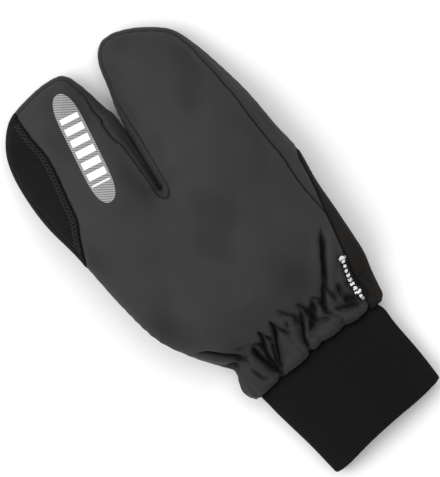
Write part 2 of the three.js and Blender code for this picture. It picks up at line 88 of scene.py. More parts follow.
# Seam where the palm comes up round the little finger side, from the hem up
PALM_SEAM = (
    (0.399, -0.05), (0.416, 0.08), (0.45, 0.176), (0.482, 0.275), (0.5, 0.33), (0.516, 0.392),
    (0.526, 0.44), (0.56, 0.49),
)

# View of the side strip from above at shares of the hand's length, in shares of its widest view
STRIP_LITTLE = (
    (0.27, 0.66), (0.44, 1), (0.6, 0.86), (0.7, 0.68), (0.79, 0.48), (0.86, 0.3), (0.91, 0.22), (1, 0.2),
)
STRIP_RING = ((0.59, 0.32), (0.67, 0.36), (0.724, 0.39), (0.796, 0.31), (0.858, 0.15), (0.91, 0.18), (1, 0.2))
STRIP_MIDDLE = (
    (0.59, 0.29), (0.617, 0.3), (0.66, 0.41), (0.726, 0.54), (0.781, 0.9), (0.817, 0.89), (0.853, 0.61),
    (0.915, 0.3), (1, 0.22),
)

# Side view of the hand: how far the folded thumb lifts it, and its depth, both as shares
HAND_LIFT = ((0.05, 0), (0.215, 1), (0.6, 1), (0.88, 0))
HAND_DEPTH = ((0.05, 0.82), (0.24, 0.98), (0.66, 1), (0.95, 0.93))

# Half width of the thumb at shares of its length, from its base
THUMB_OUTLINE = (
    (0, 0), (0.03, 0.62), (0.12, 0.95), (0.3, 1), (0.6, 0.94), (0.82, 0.8), (0.93, 0.55), (0.985, 0.28),
    (1, 0),
)

# The wrist hem across the hand: x and how far it strays along the hand, in millimetres
HEM_LINE = (
    (-29, -3), (-25, -3.6), (-17.5, -2.6), (-7.3, -1.4), (6.5, -1.2), (16.5, 0.3), (24.8, 1.4), (31.5, 0.7),
    (38.2, 1.2), (48.2, 0.2), (57.3, 1.1), (66, 0),
)

# Where the hem is drawn up into the creases: x and rise in millimetres
HEM_TUCKS = ((-7.6, 2.2), (14.8, 2.4), (23.2, 0.9), (40, 0.8), (57.5, 0.8))

# Creases of the wrist gathers: depth, half width and path in millimetres
CREASES = (
    (2.9, 0.6, ((-42, 40.5), (-35, 35.7), (-28.8, 29.1), (-22.2, 23), (-14.5, 17.5))),
    (1.4, 0.9, ((-25, 22.8), (-21, 19.8), (-16.5, 15.5))),
    (1, 1.2, ((-31, 22.8), (-26.2, 20.5), (-25.7, 16.5))),
    (1.1, 1.6, ((-19.2, 16), (-18.1, 9.7), (-15.9, 5.8), (-11, 2.2))),
    (3.8, 1.4, ((-11.3, 25), (-12, 17.3), (-10.5, 11.8), (-7.8, 4.9), (-6.6, -2))),
    (1.4, 0.9, ((-12.2, 24.2), (-7.9, 22.1), (-6.6, 19.5), (-6.1, 15))),
    (2.8, 1.1, ((-3.3, 30.5), (-3.9, 22), (-5.9, 17.3), (-6.8, 13), (-6.7, 8), (-6.5, -1))),
    (1.3, 0.9, ((-5, 29.6), (-1.8, 23.8), (1.9, 17.2))),
    (3, 1.2, ((6, 32), (5, 23.2), (3, 18.6), (0.1, 13), (-3.4, 6.7), (-6.8, -2))),
    (1.5, 0.9, ((4.6, 30), (7.2, 23.3), (11.6, 15.6))),
    (1.7, 1.9, ((1, 20), (-2.3, 13.6), (-5.6, 4.5))),
    (1.3, 1.1, ((11.6, 34), (16.2, 26.4), (18.9, 23.3), (19.4, 18.5), (21, 13.4))),
    (0.9, 1.2, ((15, 25.5), (12.6, 20.7), (10.6, 15.4))),
    (2.8, 1, ((24.5, 26.5), (22.7, 18.9), (19.9, 14.8), (17.3, 11.2), (15.9, 7.3), (14.6, -2))),
    (1.5, 1, ((23.8, 29.6), (26.6, 23.2), (28.9, 16))),
    (3.1, 1.8, ((32.5, 27), (31.8, 20.5), (29.4, 17.9), (26.8, 14.3), (23.9, 11.9), (18.8, 9))),
    (1.2, 0.9, ((31.8, 27), (36.5, 23.2), (36.8, 19.7), (36.3, 14.5))),
    (3, 1.6, ((64, 59), (56.8, 46.5), (53.4, 41.8), (50.2, 35.9), (47.4, 31.3), (42, 21))),
    (2.9, 1.1, ((46, 31.5), (40.2, 22.2), (36.9, 16.8), (36.5, 13.3), (40.3, 9.6))),
    (1.4, 1, ((43.3, 28.3), (44.2, 21.5), (44.7, 17.8), (45.2, 14))),
    (2, 1.2, ((39.8, 13.5), (46.7, 9.8), (50.1, 8.4), (54.5, 6.8), (58.4, 5.2))),
    (1.1, 1, ((51.8, 25.6), (49.4, 18.8), (48, 13))),
    (1, 1.2, ((37.8, 12), (41.5, 5.7), (37.8, 0))),
    (0.9, 0.8, ((16.8, 9.4), (21, 7.9), (23.1, 4.7), (24.7, 0))),
    (1.6, 1.1, ((25, 15.6), (33, 11.4), (38.6, 10.4))),
    (2.2, 2.2, ((47.5, 14.6), (52.5, 11.6), (56.5, 8.4))),
    (0.6, 1.2, ((-22, 26.5), (-15, 25.6), (-9, 24.6))),
)

# Puffs and ridges of the gathers: height, half length and half width, middle and turn in degrees
PUFFS = (
    (2.6, 13, 9.5, (-21, 7), 62),
    (1.4, 9, 2.6, (-14.6, 10.5), 108),
    (1.3, 8, 1.5, (-4, 16.3), 70),
    (3, 13, 9, (5, 7.5), 66),
    (1.5, 8, 2.6, (14.2, 17), 79),
    (1.4, 6.5, 1.4, (22.6, 16.8), 69),
    (3.4, 12.5, 6.6, (28.5, 5.6), 2),
    (1.3, 6, 2.2, (33, 17.6), 70),
    (1.4, 6, 3, (41.6, 18), 75),
    (2.6, 11, 4.8, (46.5, 4.6), -24),
    (1.4, 14, 2.3, (56.6, 38.6), 55),
    (0.8, 11, 2.6, (51.6, 44.5), 65),
    (1, 13, 2, (-31, 28.2), 134),
)

# Folds of the wrist's underside: x where each lies, its height and half width in millimetres
UNDER_FOLDS = (
    (-22, 1.2, 3.2), (-13, -1.4, 2.2), (-5, 1.1, 3), (3, -1.6, 2), (11, 1.2, 3.4), (20, -1.4, 2.2),
    (29, 1.3, 3.6), (38, -1.5, 2), (47, 1.2, 3.2), (56, -1.2, 2.2),
)

# Edges of the woven tag in the side seam, from its upper end down, in millimetres
TAG_LEFT = ((60.4, 36.2), (58.8, 30.2), (57.6, 25.6), (56.1, 20.5), (55.5, 14.4), (56.2, 7.8))
TAG_RIGHT = ((64.6, 35.6), (63.3, 30.6), (61.4, 24.3), (61.1, 18.5), (61.5, 13.1), (61, 7.3))

# Soft waves of the padded cloth: amplitude in millimetres, waves to the metre across and along, and phase
SOFT_WAVES = (
    (0.34, 13, 5, 0.4), (0.26, -9, 17, 1.9), (0.2, 24, -11, 3.3), (0.14, 31, 22, 5.2), (0.1, -39, 27, 0.9),
)

# Ends of the reflective transfer and half its width, in millimetres
TRANSFER_FOOT = (-28.5, 141)
TRANSFER_HEAD = (-17, 211)
TRANSFER_HALF_WIDTH = 7.4

# Depth of the seam along the index edge, as a share of the other seams
PIPE_DEPTH = 0.4

# Where the palm's seam leaves the silhouette of the little finger side, in millimetres from the hem
PALM_LEAVES_EDGE = 103

# Share of the hand's depth that lies under its side seam
SEAM_SHARE = 0.42

# How far inside the outer faces of the wrist the cuff sits, in millimetres
CUFF_FIT = 3.1

# Depth of a crease that gets painted shade in full, and height from which points are let down, in millimetres
SHADED_DEPTH = 2.1
OVER_ALL = 90.0

# Width and length of the hand in the CAD model, in millimetres
CAD_HAND = (146, 222)

# Walls of the pieces, in millimetres
WALL = {"back": 2.4, "strip": 2.2, "patch": 2.2, "palm": 2.4, "thumb": 1.8, "tag": 0.3}

# Pitch of the reflective transfer's hatching and of its bars, in millimetres
HATCH_PITCH = 1.15
BAR_PITCH = 7.4

# Colour sockets of a mix node: its two inputs and its output
MIX_LOW, MIX_HIGH, MIX_RESULT = 6, 7, 2

# Camera: middle of its view, height of the view and distance, in metres, and its turn
VIEW_MIDDLE = (0.00577, 0.00855, 0.025)
VIEW_HEIGHT = 0.2806
VIEW_DISTANCE = 4.0
VIEW_TURN = math.radians(-36)


def millimetres(value):
    return value * 1000.0


def metres(name, description, default):
    """A size in metres"""
    return FloatProperty(name=name, description=description, default=default, unit="LENGTH")


def colour(name, description, default):
    """A linear colour"""
    return FloatVectorProperty(name=name, description=description, default=default, subtype="COLOR", size=3)


class MittSizes(PropertyGroup):
    """Sizes of the mitt"""

    hand_length: metres("Hand length", "Wrist hem to the tip of the longer lobe", CAD_HAND[1] / 1000)
    hand_width: metres("Hand width", "Index side to little finger side", CAD_HAND[0] / 1000)
    hand_depth: metres("Hand depth", "Back of the hand to the palm, padding included", 0.028)
    back_edge: metres("Back rounding", "How far in from the silhouette the back rounds over", 0.026)
    palm_edge: metres("Palm rounding", "How far in from the silhouette the palm rounds under", 0.011)
    strip_width: metres("Side strip", "Widest view of the side strip from above", 0.010)
    pipe_inset: metres("Index edge", "Silhouette to the seam where the palm turns up", 0.0026)
    seam_depth: metres("Seam depth", "How deep the cloth rolls in at a seam", 0.0013)
    seam_roll: metres("Seam roll", "Half width of the groove at a seam", 0.0008)
    crown: metres("Crown", "Rise of the padded back over its edges", 0.002)
    gather_length: metres("Gather length", "Hem to the elastic", 0.020)
    thumb_length: metres("Thumb length", "Base to tip", 0.086)
    thumb_width: metres("Thumb width", "Across the folded thumb", 0.042)
    thumb_depth: metres("Thumb depth", "Through the folded thumb", 0.017)
    cuff_length: metres("Cuff length", "Hem to the mouth", 0.062)
    cuff_tuck: metres("Cuff tuck", "Knit inside the wrist", 0.012)
    cuff_depth: metres("Cuff depth", "Height of the mouth", 0.017)
    cuff_wall: metres("Cuff wall", "Two layers of knit", 0.003)
    cuff_slant: metres("Cuff slant", "How much further the index side of the mouth reaches", 0.0092)
    rib_pitch: metres("Rib pitch", "Rib to rib", 0.00165)
    rib_relief: metres("Rib relief", "Depth of the ribs", 0.0006)
    columns: IntProperty(name="Columns", description="Faces across one half of the back", default=120, min=12)


class MittColours(PropertyGroup):
    """Colours of the mitt's cloths and of the floor"""

    shell: colour("Shell", "Woven shell cloth", (0.0285, 0.0285, 0.029))
    suede: colour("Suede", "Suede of the palm and index patch", (0.0062, 0.0062, 0.0062))
    # Painted sheen: brown where the nap catches the light, and also the tone of its brushed patches
    suede_nap_and_sheen: colour("Suede nap", "Where the nap catches the light", (0.0160, 0.0138, 0.0124))
    knit: colour("Knit", "Ribbed cuff", (0.0072, 0.0072, 0.0075))
    label: colour("Tag", "Woven tag", (0.005, 0.005, 0.006))
    mark: colour("Marks", "Plain marks on the tag and the reflective transfer", (0.82, 0.82, 0.82))
    floor: colour("Floor", "Studio floor", (0.92, 0.92, 0.92))


def smooth(value):
    """Eases from nought to one"""
    held = np.clip(value, 0.0, 1.0)
    return held * held * (3 - 2 * held)


def bell(value, half_width, power=2):
    """One in the middle, falling off to both sides"""
    return np.exp(-((value / half_width) ** power))


def round_over(share):
    """A quarter round: nought at the silhouette, one where the surface has turned over"""
    return np.sqrt(np.maximum(0.0, 1 - (1 - np.clip(share, 0, 1)) ** 2))


def read_table(table, along):
    """The table's value at a place, eased between its rows"""
    rows = np.asarray(table, float)
    after = np.clip(np.searchsorted(rows[:, 0], along), 1, len(rows) - 1)
    low, high = rows[after - 1], rows[after]
    share = smooth((along - low[..., 0]) / (high[..., 0] - low[..., 0]))
    return low[..., 1] + (high[..., 1] - low[..., 1]) * share


def spline_through(points, steps=14):
    """A smooth curve through a few points"""
    held = np.asarray(points, float)
    padded = np.vstack([held[:1], held, held[-1:]])
    t = np.linspace(0, 1, steps, endpoint=False)[:, None]
    spans = []
    for i in range(1, len(padded) - 2):
        a, b, c, d = padded[i - 1 : i + 3]
        spans.append(
            0.5 * (2 * b + (c - a) * t + (2 * a - 5 * b + 4 * c - d) * t**2 + (3 * b - a - 3 * c + d) * t**3)
        )
    return np.vstack([*spans, held[-1:]])


def directions(line):
    """Unit direction of a line at each of its points"""
    way = np.gradient(line, axis=0)
    return way / np.maximum(np.linalg.norm(way, axis=1, keepdims=True), 1e-9)


def moved_right(line, width):
    """A line moved to its right as one walks along it"""
    way = directions(line)
    return line + np.stack([way[:, 1], -way[:, 0]], axis=1) * np.asarray(width).reshape(-1, 1)


def walked(line):
    """How far along a line each of its points lies"""
    return np.concatenate([[0], np.cumsum(np.linalg.norm(np.diff(line, axis=0), axis=1))])


def at_lengths(line, lengths):
    """The places that lie so far along a line"""
    return np.stack([np.interp(lengths, walked(line), values) for values in line.T], axis=1)


def resampled(line, spacing):
    """A line with even steps of about a spacing"""
    length = walked(line)[-1]
    return at_lengths(line, np.linspace(0, length, max(2, int(round(length / spacing)) + 1)))


def nearest_on(line, points):
    """Distance of each point from a line, and how far along the line the nearest place is"""
    start = line[:-1]
    way = np.diff(line, axis=0)
    length_squared = np.maximum((way**2).sum(1), 1e-12)
    reached = walked(line)
    distance = np.empty(len(points))
    along = np.empty(len(points))
    for low in range(0, len(points), 3000):
        to = points[low : low + 3000, None, :] - start[None]
        share = np.clip((to * way).sum(2) / length_squared, 0, 1)
        apart = ((to - share[..., None] * way) ** 2).sum(2)
        best = apart.argmin(1)
        row = np.arange(len(best))
        distance[low : low + 3000] = np.sqrt(apart[row, best])
        along[low : low + 3000] = reached[best] + share[row, best] * np.sqrt(length_squared[best])
    return distance, along


def x_at(line, y):
    """The x of a climbing line at each height"""
    order = np.argsort(line[:, 1], kind="stable")
    return np.interp(y, line[order, 1], line[order, 0])


class Hand:
    """Plan lines and heights of the hand, in millimetres"""

    def __init__(self, sizes):
        self.width = millimetres(sizes.hand_width)
        self.length = millimetres(sizes.hand_length)
        self.depth_full = millimetres(sizes.hand_depth)
        self.back_edge = millimetres(sizes.back_edge)
        self.palm_edge = millimetres(sizes.palm_edge)
        self.strip = millimetres(sizes.strip_width)
        self.gather = millimetres(sizes.gather_length)
        self.crown = millimetres(sizes.crown)
        self.thumb_lift = millimetres(sizes.thumb_depth) + 0.3
        self.index_side = self.spread(INDEX_OUTLINE)
        self.ring_side = self.spread(RING_OUTLINE)
        self.index_tip = int(self.index_side[:, 1].argmax())
        self.ring_tip = int(self.ring_side[:, 1].argmax())
        self.patch_line = self.spread(PATCH_SEAM)
        self.palm_line = self.spread(PALM_SEAM)
        self.patch_foot = PATCH_SEAM[0][1] * self.length
        self.palm_top = PALM_SEAM[-1][1] * self.length
        self.crotch_y = INDEX_OUTLINE[-1][1] * self.length
        turned = smooth((self.index_side[:, 1] / self.length - PATCH_SEAM[0][1]) / 0.08)
        pipe = moved_right(self.index_side, millimetres(sizes.pipe_inset) * turned)
        self.pipe_line = pipe[: int(pipe[:, 1].argmax()) + 1]
        self.index_seam = moved_right(
            self.index_side, self.strip * read_table(STRIP_MIDDLE, self.index_side[:, 1] / self.length)
        )
        ring_share = self.ring_side[:, 1] / self.length
        on_gap = np.arange(len(self.ring_side)) <= self.ring_tip
        view = np.where(on_gap, read_table(STRIP_RING, ring_share), read_table(STRIP_LITTLE, ring_share))
        self.ring_seam = moved_right(self.ring_side, self.strip * view)
        self.strip_end = tip_start(self.index_seam, self.index_tip, self.patch_x(self.length))
        left, right = self.index_seam[-1], self.ring_seam[0]
        self.crotch_half = (right[0] - left[0]) / 2
        self.crotch_middle = (right[0] + left[0]) / 2
        self.crotch_top = (right[1] + left[1]) / 2
        self.crotch_foot = self.crotch_top - 0.65 * self.strip

    def spread(self, table):
        return spline_through([(across * self.width, along * self.length) for across, along in table])

    def inward(self, x, y):
        """Distance in from the silhouette, seen from above"""
        points = np.stack([np.ravel(x), np.ravel(y)], axis=1)
        near = np.minimum(nearest_on(self.index_side, points)[0], nearest_on(self.ring_side, points)[0])
        return near.reshape(np.shape(x))

    def depth(self, y):
        return self.depth_full * read_table(HAND_DEPTH, y / self.length)

    def seam(self, x, y):
        away = smooth((x / self.width - 0.1) / (RING_OUTLINE[-1][0] - 0.1))
        lift = self.thumb_lift * read_table(HAND_LIFT, y / self.length) * (1 - 0.55 * away)
        return lift + SEAM_SHARE * self.depth(y)

    def top(self, x, y):
        inward = self.inward(x, y)
        crown = self.crown * smooth(inward / (1.6 * self.back_edge)) * smooth((y - 15) / 60)
        rise = (1 - SEAM_SHARE) * self.depth(y)
        return self.seam(x, y) + rise * round_over(inward / self.back_edge) + crown

    def bottom(self, x, y):
        fall = SEAM_SHARE * self.depth(y) * round_over(self.inward(x, y) / self.palm_edge)
        return np.maximum(self.seam(x, y) - fall, 0.0)

    def crotch_x(self, y):
        """Half width of the hollow of the strip's seam under the crotch"""
        drop = np.clip((self.crotch_top - y) / (self.crotch_top - self.crotch_foot), 0, 1)
        return self.crotch_half * np.sqrt(1 - drop**2)

    def hollow(self, turn):
        """The strip's seam round the crotch, from the little finger's half to the index finger's"""
        drop = self.crotch_top - self.crotch_foot
        return np.stack([self.crotch_half * np.cos(turn), self.crotch_top - drop * np.sin(turn)], axis=1)

    def patch_x(self, y):
        return x_at(self.patch_line, y)

    def on_back(self, line):
        return np.column_stack([line, self.top(line[:, 0], line[:, 1])])

    def on_edge(self, line):
        return np.column_stack([line, self.seam(line[:, 0], line[:, 1])])

    def seam_lines(self):
        """Seams of the back, laid on its surface: the strip's, the patch's, the palm's and the index edge"""
        ring_part = self.ring_seam[self.ring_seam[:, 1] > STRIP_LITTLE[0][0] * self.length]
        hollow = self.hollow(np.linspace(0, math.pi, 25))
        strip = np.vstack([ring_part[::-1], hollow, self.index_seam[self.strip_end :][::-1]])
        edge = self.index_side[: self.index_tip]
        below_patch = edge[edge[:, 1] < self.patch_foot + 4]
        return [self.on_back(line) for line in (strip, self.patch_line, self.palm_line, below_patch)]

    def edge_lines(self):
        """The seam at the silhouette, all round both lobes"""
        return [self.on_edge(line) for line in (self.index_side, self.ring_side)]


def tip_start(line, tip, x):
    """Where a line, on its way up to a tip, has passed an x for good"""
    return int(np.nonzero(line[: tip + 1, 0] <= x)[0][-1]) + 1


def stroke(x, y, depth, half_width, path):
    """A crease along a path, fading at its ends"""
    line = resampled(spline_through(path, 8), 1.0)
    low, high = line.min(0) - 9, line.max(0) + 9
    near = (x > low[0]) & (x < high[0]) & (y > low[1]) & (y < high[1])
    height = np.zeros_like(x)
    if not near.any():
        return height
    distance, along = nearest_on(line, np.stack([x[near], y[near]], axis=1))
    length = walked(line)[-1]
    fade = smooth(along / (0.3 * length)) * smooth((length - along) / (0.3 * length))
    opened = 0.4 + 0.6 * fade
    height[near] = -1.8 * depth * fade * bell(distance, 0.85 * half_width * opened + 0.25, 1.15)
    return height


def puff(x, y, height, half_length, half_width, middle, turn):
    """A blown up part of the gathers, or a narrow ridge"""
    angle = math.radians(turn)
    u = ((x - middle[0]) * math.cos(angle) + (y - middle[1]) * math.sin(angle)) / half_length
    v = ((y - middle[1]) * math.cos(angle) - (x - middle[0]) * math.sin(angle)) / half_width
    return height * bell(u * u + v * v, 1, 1.5)


def gathers_above(hand, x, y):
    """Height of the gathered cloth over the back of the wrist"""
    height = np.zeros_like(x)
    for depth, half_width, path in CREASES:
        height += stroke(x, y, depth, half_width, path)
    for row in PUFFS:
        height += puff(x, y, *row)
    elastic = -0.7 * bell(y - hand.gather, 2.6)
    ripples = 0.14 * np.sin(x / 1.45 + 1.2 * np.sin(x / 6.1)) * np.exp(-np.abs(y - hand.gather - 2) / 6)
    crumpled = np.sin(x / 0.75 + 1.6 * np.sin(y / 4.7 + x / 9.3) + y / 3.1) * np.sin(x / 6.1 - y / 5.2) ** 2
    crumpled *= 0.45 * smooth((27 - y) / 8) * smooth(y / 2)
    loose = smooth((80 - y) / 20)
    return (height + elastic + ripples + crumpled) * loose


def gathers_below(hand, x, y):
    """Height of the gathered suede under the wrist"""
    height = np.zeros_like(x)
    for middle, rise, half_width in UNDER_FOLDS:
        sway = 2.2 * np.sin(y / 7 + middle)
        height += rise * bell(x - middle - sway, half_width)
    reach = smooth((hand.gather + 16 - y) / 18)
    elastic = -0.9 * bell(y - hand.gather, 3)
    return (height + elastic) * reach


def evened(height, passes):
    """A net of heights with its folds smoothed away"""
    even = height.copy()
    for _ in range(passes):
        even[1:-1, 1:-1] = 0.25 * (even[:-2, 1:-1] + even[2:, 1:-1] + even[1:-1, :-2] + even[1:-1, 2:])
    return even


def rested(z):
    """Heights eased so that the cloth lies on the surface and never under it"""
    soft = 0.6
    return np.where(z < soft, soft * np.exp((np.minimum(z, soft) - soft) / soft), z)


def soft_waves(x, y):
    """Slow rise and fall of the padding"""
    height = np.zeros_like(x)
    for amplitude, across, along, phase in SOFT_WAVES:
        height += amplitude * np.sin(2 * math.pi * (across * x + along * y) / 1000 + phase)
    return height


def normals_of(points):
    """Directions out of a net; close to a row that shrinks to a point they are those of a row further in"""
    normal = np.cross(np.gradient(points, axis=1), np.gradient(points, axis=0))
    size = np.linalg.norm(normal, axis=2, keepdims=True)
    normal = np.where(size > 1e-9, normal / np.maximum(size, 1e-9), 0.0)
    for end, way in ((0, 1), (len(points) - 1, -1)):
        if np.ptp(points[end, :, 0]) > 1e-6:
            continue
        middle = points.shape[1] // 2
        sound = end
        while abs(points[sound, middle, 1] - points[end, middle, 1]) < 1.2:
            sound += way
        order = np.argsort(points[sound, :, 0], kind="stable")
        for row in range(end, sound, way):
            for axis in range(3):
                normal[row, :, axis] = np.interp(
                    points[row, :, 0], points[sound, order, 0], normal[sound, order, axis]
                )
    return normal


def both_ends(share, hold=0.68):
    """Even steps drawn closer together at both ends"""
    return share - hold * np.sin(2 * math.pi * share) / (2 * math.pi)


def levels(*spans):
    """Heights of rows: each span is (from, to, spacing)"""
    parts = []
    for low, high, spacing in spans:
        count = max(1, int(round((high - low) / spacing)))
        parts.append(np.linspace(low, high, count, endpoint=False))
    return np.concatenate(parts)


def to_tip(low, tip, rows):
    """Heights that close up towards the tip of a lobe, the tip itself last"""
    return low + (tip - low) * np.sin(np.linspace(0, math.pi / 2, rows + 1))


def seam_relief(sizes, points, lines, puckers=0.22):
    """Height that a seam's groove, roll and puckers give a surface"""
    flat = points.reshape(-1, 3)
    near = np.full(len(flat), 1e9)
    along = np.zeros(len(flat))
    for k, line in enumerate(lines):
        distance, reached = nearest_on(line, flat)
        closer = distance < near
        near = np.where(closer, distance, near)
        along = np.where(closer, reached + 31 * k, along)
    depth = millimetres(sizes.seam_depth)
    roll = millimetres(sizes.seam_roll)
    groove = -depth * bell(near, roll, 1.7)
    shoulder = 0.18 * bell(near - 2.4, 1.3)
    beat = np.sin(along / 1.15 + 1.7 * np.sin(along / 9.7)) * np.sin(along / 23 + 0.6)
    pucker = puckers * beat * bell(near - 1.6, 2.2)
    return (groove + shoulder + pucker).reshape(points.shape[:2]), near.reshape(points.shape[:2])


def place_in_row(points):
    """Millimetres from the crotch and the hem, to metres in the row frame"""
    index_side = spline_through(np.array(INDEX_OUTLINE) * CAD_HAND)
    crotch_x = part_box("palm_panel")[0].x - float(index_side[:, 0].min()) / 1000
    return points / 1000 + np.array([crotch_x, hem_y, 0.0])


def add_grid(bm, points, uv=None, fold=None):
    """One sheet of faces, one vertex for each point of the rows and columns of a net, each vertex with its
    painted shade
    """
    rows, columns = points.shape[:2]
    points = np.dstack([points[..., :2], rested(points[..., 2])])
    placed = place_in_row(points)
    uv_layer = bm.loops.layers.uv.get("UVMap") or bm.loops.layers.uv.new("UVMap")
    # The fold attribute holds painted shade: how much each vertex is darkened in folds, seams, gaps and under
    # the hem
    painted_shade_layer = bm.verts.layers.float.get("fold") or bm.verts.layers.float.new("fold")
    if uv is None:
        uv = surface_uv(placed)
    made = bmesh.ops.create_grid(bm, x_segments=columns - 1, y_segments=rows - 1, size=1.0)["verts"]
    spots = {}
    for vert in made:
        i = int(round((vert.co.y + 1) / 2 * (rows - 1)))
        j = int(round((vert.co.x + 1) / 2 * (columns - 1)))
        spots[vert] = (i, j)
    faces = {face for vert in made for face in vert.link_faces}
    for vert, (i, j) in spots.items():
        vert.co = Vector(placed[i, j])
        vert[painted_shade_layer] = 0.0 if fold is None else float(fold[i, j])
    for face in faces:
        face.smooth = True
        for loop in face.loops:
            i, j = spots[loop.vert]
            loop[uv_layer].uv = (uv[i, j, 0], uv[i, j, 1])


def surface_uv(placed):
    """Lengths along the cloth, in metres, so that a weave keeps its size over every curve"""
    middle = placed.shape[1] // 2
    across = np.zeros(placed.shape[:2])
    across[:, 1:] = np.cumsum(np.linalg.norm(np.diff(placed, axis=1), axis=2), axis=1)
    across -= across[:, middle : middle + 1]
    across += placed[:, middle : middle + 1, 0]
    return np.dstack(np.broadcast_arrays(across, walked(placed[:, middle])[:, None]))


def close_up(bm, distance=2e-6):
    """Joins vertices that lie in one place, as at the tips and where two sheets meet"""
    bmesh.ops.remove_doubles(bm, verts=bm.verts[:], dist=distance)
    loose = [vert for vert in bm.verts if not vert.link_faces]
    bmesh.ops.delete(bm, geom=loose, context="VERTS")


def object_from(bm, name, material):
    """An object with a mesh and its material, in the scene"""
    mesh = bpy.data.meshes.new(name)
    bm.to_mesh(mesh)
    bm.free()
    mesh.materials.append(material)
    made = bpy.data.objects.new(name, mesh)
    bpy.context.scene.collection.objects.link(made)
    return made


def thicken(piece, wall):
    """The wall grows inwards, so that the outside keeps its place"""
    solidify = piece.modifiers.new("wall", "SOLIDIFY")
    solidify.thickness = wall / 1000
    solidify.offset = -1
    solidify.use_even_offset = False


def settle(piece, slot, *nodes, fill=None):
    """Hangs a piece on the root body and hides the CAD parts that it stands for; its slot and fill are not
    used
    """
    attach(piece, "root")
    if nodes:
        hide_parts(*nodes)


def hand_of(context):
    return Hand(context.scene.mitt_sizes)


def net_between(left, right, y, columns, hold=0.68):
    """Plan of a net between two edges, its columns closer together near them"""
    share = both_ends(np.linspace(0, 1, columns + 1), hold)
    x = left[:, None] + (right - left)[:, None] * share[None]
    return x, np.repeat(y[:, None], columns + 1, axis=1)


def hem_strayed(x, y):
    """The hem wanders and frays a little where it is sewn to the knit"""
    rows = np.asarray(HEM_LINE, float)
    stray = np.interp(x, rows[:, 0], rows[:, 1])
    ragged = 0.12 * np.sin(x * 1.9 + 1.3 * np.sin(x / 2.3)) * bell(y, 1.6)
    tucks = sum(rise * bell(x - middle, 1.7) for middle, rise in HEM_TUCKS)
    return y + stray * bell(np.maximum(y, 0), 11) + ragged + tucks * bell(y, 4)


def hem_rolled(y):
    """The hem turns in where it is sewn to the knit"""
    return -2.0 * bell(y, 1.9)


def dressed_top(hand, sizes, x, y, lines, hem=True):
    """Upper surface with its seams, gathers and soft waves, and the painted shade of its folds"""
    points = np.stack([x, y, hand.top(x, y)], axis=2)
    normal = normals_of(points)
    relief, near = seam_relief(sizes, points, lines)
    gathers = gathers_above(hand, x, y)
    held = np.where(gathers < 0, smooth(near / 5), smooth((near + 0.6) / 1.6))
    # Painted shade in the hollows between puffs, where the gathers lie below their smoothed height
    hollow = (evened(gathers, 24) - gathers) / 1.3
    waves = soft_waves(x, y) * smooth(near / 8)
    height = relief + gathers * held + waves + (hem_rolled(y) if hem else 0.0)
    points = points + normal * height[..., None]
    # Painted shade in the creases, seam grooves and rolled hem, darker the deeper they lie
    fold = np.clip(np.maximum(-height / SHADED_DEPTH, hollow), 0, 1)
    if hem:
        # Painted shade over the whole gathered band at the wrist
        gathered = smooth((26 - y) / 9)
        fold = np.maximum(fold, 0.16 * gathered) + 0.1 * gathered * (1 - fold)
        points[..., 1] = hem_strayed(points[..., 0], points[..., 1])
    return points, fold


class MITT_OT_back_panel(Operator):
    """Grey shell over the back of both lobes, with the gathers of the wrist"""

    bl_idname = "mitt.back_panel"
    bl_label = "Back panel"

    def execute(self, context):
        sizes = context.scene.mitt_sizes
        hand = hand_of(context)
        lines = hand.seam_lines()
        foot, top = hand.crotch_foot, hand.crotch_top
        common = levels((0, 34, 0.6), (34, 62, 1.1), (62, foot, 1.8), (foot, top, 0.5))
        bm = bmesh.new()
        for side, seam in ((-1, hand.index_seam), (1, hand.ring_seam)):
            tip = seam[:, 1].max()
            low = tip - 26
            y = np.concatenate([common, levels((top, low, 1.8)), to_tip(low, tip, 40)])
            left, right = back_edges(hand, side, y)
            x, net_y = net_between(left, right, y, sizes.columns)
            points, fold = dressed_top(hand, sizes, x, net_y, lines)
            add_grid(bm, points, fold=fold)
        close_up(bm)
        panel = object_from(bm, "back_shell", shell_cloth(context))
        thicken(panel, WALL["back"])
        settle(panel, "shell", "back_panel", fill=0.5)
        return {"FINISHED"}


def back_edges(hand, side, y):
    """Left and right edge of one half of the back at each height"""
    if side < 0:
        tip = int(hand.index_seam[:, 1].argmax())
        edge = x_at(hand.index_side[: hand.index_tip + 1], y)
        outer = np.where(y < hand.patch_foot, edge, np.maximum(edge, hand.patch_x(y)))
        over_tip = x_at(hand.index_seam[: tip + 1], y)
        outer = np.where(y > 0.93 * hand.length, np.maximum(outer, over_tip), outer)
        inner = np.where(y < hand.crotch_top, -hand.crotch_x(y), x_at(hand.index_seam[tip:], y))
        return outer, np.where(y <= hand.crotch_foot, 0.0, inner)
    tip = int(hand.ring_seam[:, 1].argmax())
    outer = x_at(hand.ring_seam[tip:], y)
    outer = np.where(y < hand.palm_top, np.minimum(outer, x_at(hand.palm_line, y)), outer)
    inner = np.where(y < hand.crotch_top, hand.crotch_x(y), x_at(hand.ring_seam[: tip + 1], y))
    return np.where(y <= hand.crotch_foot, 0.0, inner), outer


